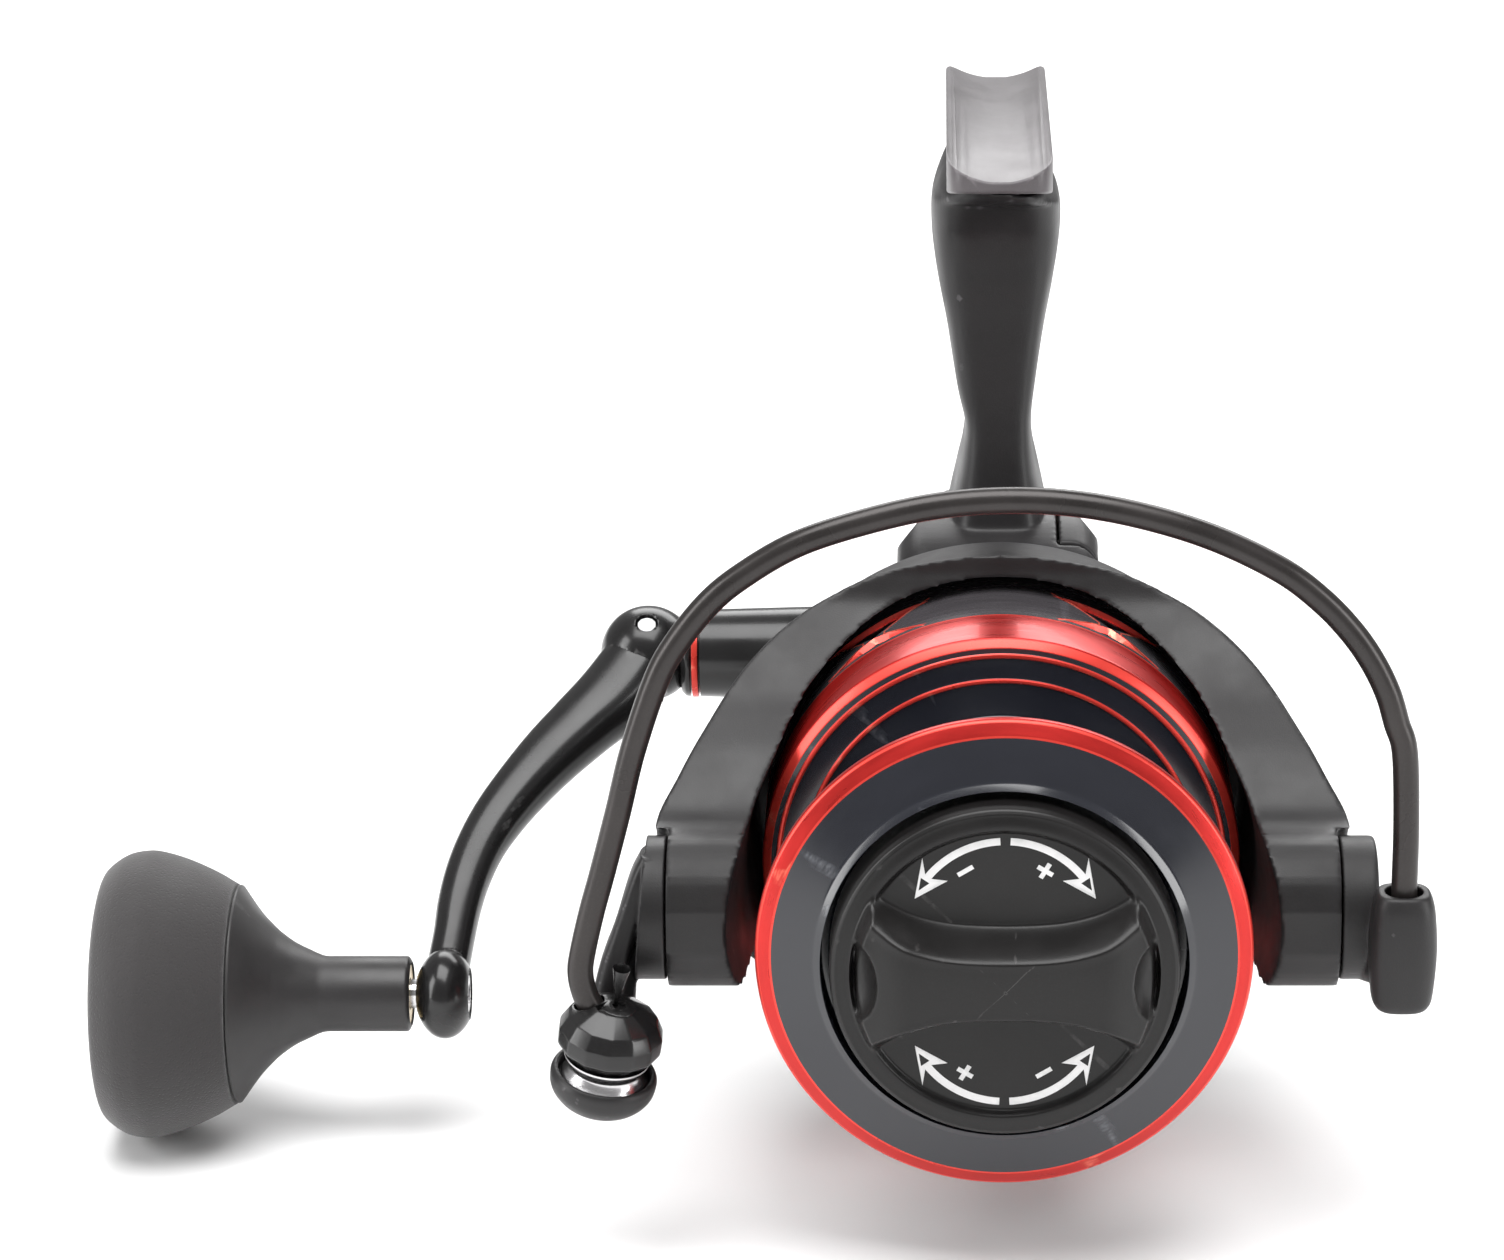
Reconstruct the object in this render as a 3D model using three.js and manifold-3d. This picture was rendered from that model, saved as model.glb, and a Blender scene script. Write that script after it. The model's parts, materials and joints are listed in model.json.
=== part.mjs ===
// Spinning reel: a fixed-spool fishing reel with a wire bail, a fold-down crank handle and a front drag knob.
//
// Millimetres. The part's origin lies on the foot's seat, straight above the handle's axis: +Z points up at
// the rod, -Y is the front, and the handle is at -X. Inside the "reel" group, x is across, y runs backward
// along the spool's axis from the widest ring of the spool's front lip, and z is height above that axis.
import * as THREE from "three";
import { mergeVertices } from "three/addons/utils/BufferGeometryUtils.js";
import Module from "manifold-3d";

const wasm = await Module();
wasm.setup();

// ---- driving dimensions ----
const GAP = 0.3; // between pieces that rest on each other
const SEAT_HEIGHT = 95; // foot seat above the spool's axis
const SEAT_Y = 112; // the origin's distance behind the spool's lip

const LIP_R = 36;
const SKIRT_REAR = 66;
const SKIRT_WALL = 1.5;
const DRUM_R = 24;
const KNOB_BORE_R = 26.5;
const KNOB_R = 25.2;
const CHAMBER_R = 21.8;
const SHAFT_R = 2.5;
const SHAFT_HOLE_R = 2.8;
const SPOOL_FLOOR = 19.5;

const ROTOR_REAR = 76;
const ROTOR_BORE_R = 38.4;
const ARM_X = 51.7; // outer face of the rotor's arms
const ARM_STEP_X = 49.2; // inner seat for the bail's hubs
const PIVOT_Y = 18.6;
const HUB_R = 10.6;
const HUB_X = ARM_STEP_X + GAP;
const HUB_OUT_X = 54.8;
const HUB_TILT = 0.338; // of the left hub's outer face, across per millimetre of height

const WIRE_R = 1.9;
const BAIL_Y = 4.6;
const ROLLER_AT = new THREE.Vector3(-58.2, 5.2, -19.6);
const ROLLER_AXIS = new THREE.Vector3(0.17, -0.17, 0.97).normalize();

const PINION_TEETH = 10;
const DRIVE_TEETH = 53;
const PINION_R = 4; // rolling radius
const MESH_Y = (DRIVE_TEETH / PINION_TEETH) * PINION_R; // ahead of the handle's axis
const TOOTH = 0.34; // share of the pitch that a tooth fills
const HANDLE_Y = 112;
const HANDLE_Z = 8;
const SLOW_TEETH = 28; // oscillation gear
const QUICK_TEETH = 14; // its driver on the handle's shaft
const SLOW_MODULE = 0.7;
const STROKE_ARM = 8; // crank pin's radius: half of the spool's stroke

const CRANK_LENGTH = 70;
const CRANK_ANGLE = THREE.MathUtils.degToRad(59.6); // forward of straight down
const BALL_X = -57;
const BALL_R = 7.8;
const BOSS_X = -86;
const BOSS_R = 6.95;
const BOSS_SQUASH = 0.67; // of the boss along the grip's axis
const AXLE_R = 2.3;
const PIN_R = 1.5;

const ROUND = 28; // sides of the large turned pieces
const MEDIUM = 16;
const SMALL = 10;

// ---- shape helpers ----
const closed = (points) => [...points, points[0]];

const area = (points) =>
  closed(points)
    .slice(1)
    .reduce((sum, [x, y], i) => sum + points[i][0] * y - x * points[i][1], 0) / 2;

const outline = (points) => new THREE.Shape(points.map(([x, y]) => new THREE.Vector2(x, y)));

// Turns a closed (radius, distance) profile round the Y axis.
function turned(profile, sides = ROUND) {
  const ordered = area(profile) > 0 ? profile : [...profile].reverse();
  return new THREE.LatheGeometry(
    closed(ordered).map(([r, y]) => new THREE.Vector2(r, y)),
    sides,
  );
}

const turnedX = (profile, sides) => turned(profile, sides).rotateZ(-Math.PI / 2);
const tube = (inner, outer, from, to, sides = MEDIUM) =>
  turned([[inner, from], [outer, from], [outer, to], [inner, to]], sides);
const tubeX = (inner, outer, from, to, sides) => tube(inner, outer, from, to, sides).rotateZ(-Math.PI / 2);
const rod = (radius, from, to, sides = SMALL) =>
  new THREE.CylinderGeometry(radius, radius, to - from, sides).translate(0, (from + to) / 2, 0);
const rodX = (radius, from, to, sides) => rod(radius, from, to, sides).rotateZ(-Math.PI / 2);
const ball = (radius, sides = 16) => new THREE.SphereGeometry(radius, sides, sides / 2);

function box([x0, x1], [y0, y1], [z0, z1]) {
  return new THREE.BoxGeometry(x1 - x0, y1 - y0, z1 - z0).translate(
    (x0 + x1) / 2,
    (y0 + y1) / 2,
    (z0 + z1) / 2,
  );
}

// Extrudes a shape from low to high along its own Z, with its edges rounded off by "edge".
function extruded(shape, low, high, edge = 0) {
  return new THREE.ExtrudeGeometry(shape, {
    depth: high - low - 2 * edge,
    bevelEnabled: edge > 0,
    bevelThickness: edge,
    bevelSize: edge,
    bevelOffset: -edge,
    bevelSegments: 2,
    curveSegments: 8,
  }).translate(0, 0, low + edge);
}

// An (x, z) outline seen from the front, from y = low to y = high.
const frontPrism = (points, low, high, edge) =>
  extruded(outline(points), -high, -low, edge).rotateX(Math.PI / 2);
// A (y, z) outline seen from the side, from x = low to x = high.
const sidePrism = (points, low, high, edge) =>
  extruded(outline(points), low, high, edge).rotateX(Math.PI / 2).rotateZ(Math.PI / 2);
// An (x, y) outline seen from above, from z = low to z = high.
const topPrism = (points, low, high, edge) => extruded(outline(points), low, high, edge);

const smooth = (points, count) =>
  new THREE.SplineCurve(closed(points).map(([x, y]) => new THREE.Vector2(x, y)))
    .getPoints(count)
    .slice(1)
    .map(({ x, y }) => [x, y]);

// A cylinder whose rings are carried to stations {at, wide, tall}: wide lies along "side", tall square to it.
function lofted(stations, side, sides = 20) {
  const count = stations.length - 1;
  const geometry = new THREE.CylinderGeometry(1, 1, 1, sides, count);
  const frames = stations.map(({ at, wide, tall }, i) => {
    const ahead = new THREE.Vector3(...stations[Math.min(i + 1, count)].at);
    const path = ahead.sub(new THREE.Vector3(...stations[Math.max(i - 1, 0)].at)).normalize();
    const across = side.clone().addScaledVector(path, -side.dot(path)).normalize();
    return { at, wide: across.clone().multiplyScalar(wide), tall: path.cross(across).multiplyScalar(tall) };
  });
  const position = geometry.getAttribute("position");
  for (let i = 0; i < position.count; i++) {
    const frame = frames[Math.round((0.5 - position.getY(i)) * count)];
    const point = new THREE.Vector3(...frame.at)
      .addScaledVector(frame.wide, position.getX(i))
      .addScaledVector(frame.tall, position.getZ(i));
    position.setXYZ(i, point.x, point.y, point.z);
  }
  return geometry;
}

function swept(points, radius, steps, sides = 12) {
  const path = new THREE.CatmullRomCurve3(points.map((p) => new THREE.Vector3(...p)));
  const section = new THREE.Shape().absarc(0, 0, radius, 0, 2 * Math.PI);
  return new THREE.ExtrudeGeometry(section, {
    steps,
    bevelEnabled: false,
    curveSegments: sides,
    extrudePath: path,
  });
}

// Points of a coil round the Y axis, twelve to a turn.
function coil(radius, from, to, turns) {
  const points = [];
  for (let i = 0; i <= turns * 12; i++) {
    const angle = (i * Math.PI) / 6;
    const along = from + ((to - from) * i) / (turns * 12);
    points.push([radius * Math.cos(angle), along, radius * Math.sin(angle)]);
  }
  return points;
}

// ---- booleans ----
function solid(geometry) {
  const bare = geometry.clone();
  bare.deleteAttribute("normal");
  bare.deleteAttribute("uv");
  const merged = mergeVertices(bare, 1e-4);
  const corners = Array.from(merged.index.array);
  const kept = [];
  for (let i = 0; i < corners.length; i += 3) {
    const [a, b, c] = corners.slice(i, i + 3);
    if (a !== b && b !== c && c !== a) kept.push(a, b, c);
  }
  return new wasm.Manifold(
    new wasm.Mesh({
      numProp: 3,
      vertProperties: merged.getAttribute("position").array,
      triVerts: new Uint32Array(kept),
    }),
  );
}

function geometryOf(shape) {
  const { vertProperties, triVerts } = shape.getMesh();
  const geometry = new THREE.BufferGeometry();
  geometry.setAttribute("position", new THREE.BufferAttribute(vertProperties, 3));
  geometry.setIndex(new THREE.BufferAttribute(triVerts, 1));
  return geometry;
}

const join = (...parts) => parts.map(solid).reduce((whole, next) => whole.add(next));
const cut = (whole, ...tools) => tools.map(solid).reduce((left, tool) => left.subtract(tool), whole);
const common = (...parts) => parts.map(solid).reduce((left, next) => left.intersect(next));

// ---- materials ----
const finish = (color, roughness, metalness) => () =>
  new THREE.MeshStandardMaterial({ color, roughness, metalness });
const satinBlack = finish(0x2c2b2d, 0.5, 0.2);
const glossBlack = finish(0x17181c, 0.22, 0.6);
const anodisedRed = finish(0xb4282c, 0.3, 0.8);
const steel = finish(0xb9bcc0, 0.3, 1);
const brass = finish(0xb08d4a, 0.35, 1);
const carbon = finish(0x222222, 0.7, 0);
const foam = finish(0x464446, 0.9, 0);
const polymer = finish(0x202022, 0.6, 0);

const root = new THREE.Group();
const reel = new THREE.Group();
reel.position.set(0, -SEAT_Y, -SEAT_HEIGHT);
root.add(reel);

function piece(name, shape, material, parent = reel) {
  const geometry = shape.isBufferGeometry ? shape : geometryOf(shape);
  const mesh = new THREE.Mesh(geometry, material());
  mesh.name = name;
  parent.add(mesh);
  return mesh;
}

// A group at a point whose local Y axis points along a direction.
function placed(at, direction) {
  const group = new THREE.Group();
  group.position.copy(at);
  group.quaternion.setFromUnitVectors(new THREE.Vector3(0, 1, 0), direction);
  reel.add(group);
  return group;
}

// The same outline, run anticlockwise.
const orient = (points) => (area(points) > 0 ? points : [...points].reverse());

// A spur gear's outline: trapezoid teeth, "share" of the pitch wide at the rolling radius.
function gearOutline(teeth, rolling, tip, rootRadius, share, phase = 0) {
  const pitch = (2 * Math.PI) / teeth;
  const corners = [
    [-0.62 * share, rootRadius],
    [-0.36 * share, tip],
    [0.36 * share, tip],
    [0.62 * share, rootRadius],
  ];
  const points = [];
  for (let i = 0; i < teeth; i++)
    for (const [turn, radius] of corners) {
      const angle = (i + turn) * pitch + phase;
      points.push([radius * Math.cos(angle), radius * Math.sin(angle)]);
    }
  return points;
}

// ---- body, stem and foot ----
const bodyOutline = smooth(
  [
    [77.2, -14], [77.2, 8], [78.5, 27], [83, 33], [91, 36], [101, 36.9], [112, 35.6], [122, 32.6],
    [131, 27.2], [138.5, 18], [142.8, 8], [144, -1], [140, -14], [130, -23], [108, -25], [90, -23.5],
  ],
  32,
);
const cavityOutline = [
  [86.8, -7], [86.8, 22], [94, 32.5], [102, 34.4], [112, 34], [122, 31.3], [129.5, 26.5], [136.5, 17.5],
  [139.6, 8], [139.6, 0], [136.4, -13], [128, -19.8], [96, -20.5], [90, -16],
];
const PLATE_X = 9.5; // parting plane between housing and side plate

const stem = lofted(
  [
    { at: [0, 107, 24], wide: 9.4, tall: 19 },
    { at: [0, 105.5, 34], wide: 8.2, tall: 16.5 },
    { at: [0, 104, 42.2], wide: 6.65, tall: 13.5 },
    { at: [0, 103.2, 47.2], wide: 5.65, tall: 12 },
    { at: [0, 103, 52.1], wide: 5.3, tall: 11.3 },
    { at: [-0.3, 103.2, 57.1], wide: 6.15, tall: 11.2 },
    { at: [-0.4, 103.8, 62], wide: 6.95, tall: 11.6 },
    { at: [-0.4, 104.8, 66.9], wide: 7.8, tall: 12.4 },
    { at: [-0.4, 106, 71.7], wide: 8.8, tall: 13.8 },
    { at: [-0.4, 107.4, 76.6], wide: 9.65, tall: 15.4 },
    { at: [-0.4, 108.6, 81.4], wide: 10.15, tall: 17.6 },
    { at: [-0.4, 109.4, 86.3], wide: 10.1, tall: 20.6 },
    { at: [-0.3, 109.6, 89.4], wide: 9.1, tall: 23.2 },
    { at: [0, 109.6, 92], wide: 7.6, tall: 25 },
  ],
  new THREE.Vector3(1, 0, 0),
  18,
);
const footSide = [
  [78.2, 93.4], [79, 98], [154.4, 98], [155, 93.8], [138, 90.2], [92, 90.2],
];
const footPlan = [
  [-8.2, 84.6], [-7.5, 81.2], [-5.6, 79], [-2.6, 78.3], [2.6, 78.3], [5.6, 79], [7.5, 81.2], [8.2, 84.6],
  [8.2, 151], [7.4, 154.4], [-7.4, 154.4], [-8.2, 151],
];
const SADDLE_R = 14; // hollow of the foot's seat, under the rod
const SADDLE_SIDES = 28;
const foot = cut(
  common(sidePrism(footSide, -9, 9), topPrism(footPlan, 85, 99)),
  new THREE.CylinderGeometry(SADDLE_R, SADDLE_R, 90, SADDLE_SIDES)
    .rotateY(Math.PI / SADDLE_SIDES)
    .translate(0, SEAT_Y, SEAT_HEIGHT + SADDLE_R * Math.cos(Math.PI / SADDLE_SIDES)),
);

// Shoulders: chamfers that begin at SHOULDER_Z and fall toward the rear.
const SHOULDER_Y = 98;
const SHOULDER_Z = 36.5;
const SHOULDER_FALL = 0.33; // per millimetre of y
const SHOULDER_SLOPE = 1.31; // per millimetre of x
const SHOULDER_X = [-11.4, 12.4]; // where each chamfer begins
const fall = new THREE.Matrix4().makeShear(0, 0, 0, -SHOULDER_FALL, 0, 0);
const fallen = (geometry) =>
  geometry.translate(0, -SHOULDER_Y, 0).applyMatrix4(fall).translate(0, SHOULDER_Y, 0);
const shoulderCuts = SHOULDER_X.map((x) => {
  const side = Math.sign(x);
  const corners = [
    [x - side * 3, SHOULDER_Z + 3 * SHOULDER_SLOPE],
    [x + side * 9, SHOULDER_Z - 9 * SHOULDER_SLOPE],
    [side * 30, SHOULDER_Z - 9 * SHOULDER_SLOPE],
    [side * 30, 70],
    [x - side * 3, 70],
  ];
  return fallen(frontPrism(orient(corners), 70, 160));
});
// The gear chamber is tall only where the drive gear turns.
const gearSlot = sidePrism(cavityOutline, 2.8, PLATE_X + 0.1);
const cavity = common(sidePrism(cavityOutline, -11.5, 13), fallen(box([-20, 20], [70, 160], [-80, 31.9])));
const bodyBlock = cut(
  join(
    sidePrism(bodyOutline, -16, 16, 4.5),
    turned([[0, 77.2], [21, 77.2], [23, 80], [23, 92], [0, 92]]),
  ),
  ...shoulderCuts,
  gearSlot,
).subtract(cavity);
const bearingBores = [
  rod(13.4, 70, 83.4, MEDIUM),
  rod(8.8, 83, 88, MEDIUM),
];
const handleBore = (radius, from, to) => rodX(radius, from, to, MEDIUM).translate(0, HANDLE_Y, HANDLE_Z);
const handleBoss = tubeX(5, 9.4, -21, -11.3).translate(0, HANDLE_Y, HANDLE_Z);
const web = box([-12, -2.4], [94.6, 97.2], [-7, 7]);
const webRing = tube(4.9, 6.2, 94.6, 97.2);

const SCREWS = [[91.2, 28.8], [137.2, -7.5], [91.4, -14.8]]; // side plate, (y, z)
const screwBosses = SCREWS.map(([y, z]) => rodX(3.4, -12, PLATE_X - 0.2).translate(0, y, z));
const rampPocket = box([2.2, 7.8], [70, 80.3], [25.6, 40]);

const leftHalf = bodyBlock.subtract(solid(box([PLATE_X - 0.15, 30], [86.7, 160], [-40, 60])));
let housing = [stem, handleBoss, web, webRing, ...screwBosses]
  .map(solid)
  .reduce((whole, next) => whole.add(next), leftHalf)
  .add(foot);
housing = cut(
  housing,
  ...bearingBores,
  rampPocket,
  handleBore(7.8, -17.2, -13.4),
  handleBore(4.7, -22, -5),
  rod(4.9, 94, 98, MEDIUM),
  rod(1.6, 85, 141).translate(0, 0, -15),
  ...SCREWS.map(([y, z]) => rodX(1.4, 1.6, 12).translate(0, y, z)),
);
// The stem's root would otherwise close off the top of the gear chamber.
housing = cut(housing, gearSlot);
piece("housing", housing, satinBlack);

const plateBlock = cut(
  bodyBlock.intersect(solid(box([PLATE_X + 0.15, 30], [87, 160], [-40, 60]))),
  ...SCREWS.map(([y, z]) => rodX(1.8, 5, 20).translate(0, y, z)),
  ...SCREWS.map(([y, z]) => rodX(3.2, 14.4, 20).translate(0, y, z)),
);
const plateBoss = tubeX(7.8, 9.6, 10, 14).translate(0, HANDLE_Y, HANDLE_Z);
piece(
  "side_plate",
  cut(
    plateBlock.add(solid(plateBoss)),
    handleBore(7.8, 11, 14.2),
    handleBore(6.2, 12, 20),
    ...bearingBores,
  ),
  satinBlack,
);
SCREWS.forEach(([y, z], i) => {
  const screw = turnedX([[0, 2], [1.1, 2], [1.1, 14.8], [2.8, 14.8], [2.8, 15.6], [2.2, 16], [0, 16]], SMALL);
  piece("plate_screw_" + (i + 1), screw, steel).position.set(0, y, z);
});
piece("trip_ramp", box([2.5, 7.5], [76.8, 80], [27, 34.2]), steel);
piece("guide_rod", rod(1.3, 85.4, 140.6), steel).position.z = -15;

const capScrew = turnedX(
  [
    [0, 9.8], [2, 9.8], [2, 15], [5.8, 15], [5.8, 16.6], [8.6, 16.6], [8.6, 19], [7, 20.4], [0, 20.4],
  ],
  MEDIUM,
);
piece("side_cap", capScrew, glossBlack).position.set(0, HANDLE_Y, HANDLE_Z);

// ---- bearings and one-way clutch ----
piece("clutch_ring", tube(9.4, 13.1, 77.6, 83.1), steel);
piece("pinion_bearing_front", tube(5.1, 8.5, 83.7, 86.6), steel);
piece("pinion_bush_rear", tube(3.6, 4.6, 94.7, 97.1), brass);
piece("drive_bearing_left", tubeX(4.5, 7.5, -16.9, -13.7), steel).position.set(0, HANDLE_Y, HANDLE_Z);
piece("drive_bearing_right", tubeX(4.5, 7.5, 10.9, 13.9), steel).position.set(0, HANDLE_Y, HANDLE_Z);

// ---- drive train ----
const X_AXIS = new THREE.Vector3(1, 0, 0);
// Directions of the unfolded crank: down its length, and along its fold pin.
const down = new THREE.Vector3(0, -Math.sin(CRANK_ANGLE), -Math.cos(CRANK_ANGLE));
const foldAxis = new THREE.Vector3().crossVectors(X_AXIS, down);
// Crank frame: x is the reel's x, y runs down the crank, z lies along the fold pin.
const crankFrame = new THREE.Matrix4().makeBasis(X_AXIS, down, foldAxis).setPosition(BALL_X, 0, 0);
const TONGUE = 1.9; // half of the tongue's thickness, inside the crank's ball

const driveShaft = cut(
  join(
    turnedX([[0, -48.7], [3, -48.7], [3, -21.4], [4.2, -21.4], [4.2, 14.2], [0, 14.2]], MEDIUM),
    rod(4.3, -TONGUE, TONGUE, MEDIUM).rotateX(Math.PI / 2).applyMatrix4(crankFrame),
    box([0, 9], [-2.2, 2.2], [-TONGUE, TONGUE]).applyMatrix4(crankFrame),
    extruded(outline(gearOutline(QUICK_TEETH, 4.9, 5.5, 4.3, TOOTH)), -9, -6.6)
      .rotateX(Math.PI / 2)
      .rotateZ(Math.PI / 2),
  ),
  rodX(2.3, 8, 16),
  rod(PIN_R + GAP, -4, 4).rotateX(Math.PI / 2).applyMatrix4(crankFrame),
);
piece("drive_shaft", driveShaft, steel).position.set(0, HANDLE_Y, HANDLE_Z);

// Straight teeth, each lying along a line that passes HANDLE_Z away from the gear's centre, as an offset
// crown gear's do, so that the tooth in mesh is parallel to the pinion.
const TOOTH_TIP_X = 3.6;
const CROWN_X = 4.9;
const toothPitch = (2 * Math.PI * MESH_Y) / DRIVE_TEETH;
const toothRoot = 0.6 * TOOTH * toothPitch;
const toothTip = 0.34 * TOOTH * toothPitch;
const crownTooth = frontPrism(
  [
    [CROWN_X + 0.5, -toothRoot], [CROWN_X + 0.5, toothRoot],
    [TOOTH_TIP_X, toothTip], [TOOTH_TIP_X, -toothTip],
  ],
  -MESH_Y - 1.3,
  -MESH_Y + 1.3,
).translate(0, 0, -HANDLE_Z);
const crown = [
  turnedX([[4.4, 6.6], [19.6, 6.6], [20.4, CROWN_X], [25, CROWN_X], [25, 8.6], [4.4, 8.6]]),
];
for (let i = 0; i < DRIVE_TEETH; i++) crown.push(crownTooth.clone().rotateX((2 * Math.PI * i) / DRIVE_TEETH));
piece("drive_gear", join(...crown), brass).position.set(0, HANDLE_Y, HANDLE_Z);

const pinion = cut(
  join(
    frontPrism(gearOutline(PINION_TEETH, PINION_R, 4.6, 3.45, TOOTH, Math.PI / PINION_TEETH), 87.8, 92.8),
    rod(3.3, 92.6, 98, MEDIUM),
    rod(4.8, 62.6, 88, MEDIUM),
  ),
  rod(SHAFT_HOLE_R, 60, 100, MEDIUM),
);
piece("pinion", pinion, brass);
piece("clutch_sleeve", tube(5.1, 9.1, 77.2, 83.2), steel);

const SLOW_X = [-9, -6.6]; // both gears' faces
const PIN_END = -4.75; // just clear of the slider
const slowZ = HANDLE_Z - (SLOW_MODULE * (SLOW_TEETH + QUICK_TEETH)) / 2 - 0.15;
const slowGear = join(
  extruded(outline(gearOutline(SLOW_TEETH, 9.8, 10.4, 9.2, TOOTH)), ...SLOW_X)
    .rotateX(Math.PI / 2)
    .rotateZ(Math.PI / 2),
  rodX(1.2, -7, PIN_END).translate(0, STROKE_ARM, 0),
  rodX(2, -11, -8),
);
piece("oscillation_gear", slowGear, polymer).position.set(0, HANDLE_Y, slowZ);

const slider = cut(
  solid(box([-4.4, 3.2], [HANDLE_Y + STROKE_ARM - 4, HANDLE_Y + STROKE_ARM + 4], [-19, 3.3])),
  rod(SHAFT_HOLE_R - 0.2, 110, 130, MEDIUM),
  rod(1.6, 110, 130).translate(0, 0, -15),
  box([-5, -2.9], [HANDLE_Y + STROKE_ARM - 1.8, HANDLE_Y + STROKE_ARM + 1.8], [-20, 4]),
);
piece("slider", slider, brass);

// ---- main shaft and spool ----
piece("main_shaft", rod(SHAFT_R - 0.15, -2.6, 130, MEDIUM), steel);

const spoolProfile = [
  [KNOB_BORE_R, -4.3], [27.7, -3.2], [33.9, -1.45], [LIP_R, 0], [LIP_R, 1], [34.6, 2.6],
  [DRUM_R, 8], [DRUM_R, 34.4], [35.2, 35.2], [LIP_R, 36], [LIP_R, SKIRT_REAR],
  [LIP_R - SKIRT_WALL, SKIRT_REAR], [LIP_R - SKIRT_WALL, 38.6], [21.4, 38.6],
  [21.4, 22.5], [6.3, 22.5], [6.3, 31], [SHAFT_HOLE_R, 31], [SHAFT_HOLE_R, SPOOL_FLOOR],
  [CHAMBER_R, SPOOL_FLOOR], [CHAMBER_R, 2.2], [KNOB_BORE_R, 2.2],
];
// Skirt ports: pairs of triangles with their points facing, so that the skirt between them forms an X.
const PORT_PAIRS = 6;
const PORT_TURN = THREE.MathUtils.degToRad(27.5); // of the first pair, from the top towards +X
const PORTS = [[[-8, 48], [8, 48], [0, 51.6]], [[-8.4, 59], [0, 53.4], [8.4, 59]]]; // (across, y)
const ports = [];
for (let i = 0; i < PORT_PAIRS; i++)
  for (const corners of PORTS)
    ports.push(topPrism(orient(corners), 28, 42).rotateY(PORT_TURN + (i * 2 * Math.PI) / PORT_PAIRS));
piece("spool", cut(solid(turned(spoolProfile, 32)), ...ports), glossBlack);

// Drag stack, from the chamber's floor forward.
const STACK = [
  ["drag_washer_1", carbon, 21, 1.2],
  ["drag_plate_1", steel, 20.4, 1.2],
  ["drag_washer_2", carbon, 21, 1.2],
  ["drag_plate_2", steel, 21.2, 1.2],
  ["drag_washer_3", carbon, 21, 1.2],
  ["drag_plate_3", steel, 20.4, 1.2],
];
let stackTop = SPOOL_FLOOR - GAP;
for (const [name, material, radius, thick] of STACK) {
  piece(name, tube(name.includes("plate") ? 3 : 4.2, radius, stackTop - thick, stackTop), material);
  stackTop -= thick + GAP;
}
const ring = cut(
  solid(tube(19.9, 21.4, stackTop - 1, stackTop)),
  box([-4, 4], [0, 20], [10, 30]),
);
piece("retaining_ring", ring, steel);
const ratchet = cut(
  solid(frontPrism(gearOutline(16, 8.6, 9.2, 8, 0.5), 31.4, 33.4)),
  rod(SHAFT_R + 0.1, 30, 36, MEDIUM),
);
piece("click_ratchet", ratchet, steel);

// ---- drag knob ----
const BAR_FRONT = -14.8;
const barOutline = smooth(
  [
    [0, 5], [8, 5.4], [15, 7.4], [20.6, 9.4], [21.9, 5], [21.9, -5], [20.6, -9.4], [15, -7.4],
    [8, -5.4], [0, -5], [-8, -5.4], [-15, -7.4], [-20.6, -9.4], [-21.9, -5], [-21.9, 5],
    [-20.6, 9.4], [-15, 7.4], [-8, 5.4],
  ],
  36,
);
const knob = cut(
  join(
    turned([[0, -8], [21.4, -8], [24.3, -7.6], [KNOB_R, -6.3], [KNOB_R, 1.4], [0, 1.4]]),
    frontPrism(barOutline, BAR_FRONT, -6, 1.4),
  ),
  turned([[9.4, -4.6], [22.6, -4.6], [22.6, 2], [9.4, 2]]),
  rod(SHAFT_HOLE_R, -4.2, 4, MEDIUM),
  rod(6, -0.8, 3, 6),
  ...[-1, 1].map((side) =>
    ball(6, SMALL).scale(0.55, 1, 1).translate(side * 22.6, BAR_FRONT - 0.8, 0)),
);
piece("drag_knob", knob, satinBlack);
piece("drag_nut", cut(solid(rod(5.7, -0.5, 2.6, 6)), rod(SHAFT_HOLE_R - 0.1, -2, 4, MEDIUM)), brass);
piece("drag_spring", swept(coil(3.7, 3.2, 8.2, 3), 0.45, 27, 2), steel);

// ---- rotor ----
// The right shoulder seen from the front, from near the top out to the arm's face.
const shoulder = [
  [16.7, 39.6], [27, 35.4], [33.4, 31.8], [37.8, 28.4], [41.1, 25], [43.7, 22],
  [46.3, 18.9], [48.6, 15.5], [50.9, 12.2], [ARM_X, 10],
];
// The rotor's front edge seen from the side, (y, z): over the rim and arms, then under them.
const upperEdge = [
  [58, 39.2], [56, 35], [52, 31.4], [48, 28], [44, 24.6], [39, 21.6], [34, 18.6], [30, 15.3],
  [26, 12.4], [22, 11.2], [15.6, 11], [10.4, 8], [8, 3.4],
];
const lowerEdge = [
  [8, -3.4], [10.4, -8], [15.6, -11], [30, -11.3], [45, -12.5], [52, -17], [56, -24], [58, -30],
];
const RIM_TOP = 42;
const SHOULDER_DROP = 0.36; // of the rotor's shoulders, per millimetre behind the front edge
const BEYOND = 70; // past the rotor on every side
const flip = (points, sx, sz) => points.map(([x, z]) => [sx * x, sz * z]);
// Front outline of the rotor that follows its upper (1) or lower (-1) half and leaves the other half whole.
const half = (sz) => [
  [-ARM_X, -sz * BEYOND],
  [ARM_X, -sz * BEYOND],
  ...flip([...shoulder].reverse(), 1, sz),
  [0, sz * RIM_TOP],
  ...flip(shoulder, -1, sz),
];

// Place along the spool's axis where the upper front edge stands at a height.
function edgeY(height) {
  const after = upperEdge.findIndex(([, z]) => z < height);
  if (after === 0) return upperEdge[0][0];
  const [y0, z0] = upperEdge[after - 1];
  const [y1, z1] = upperEdge[after];
  return y0 + ((y1 - y0) * (height - z0)) / (z1 - z0);
}

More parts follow.
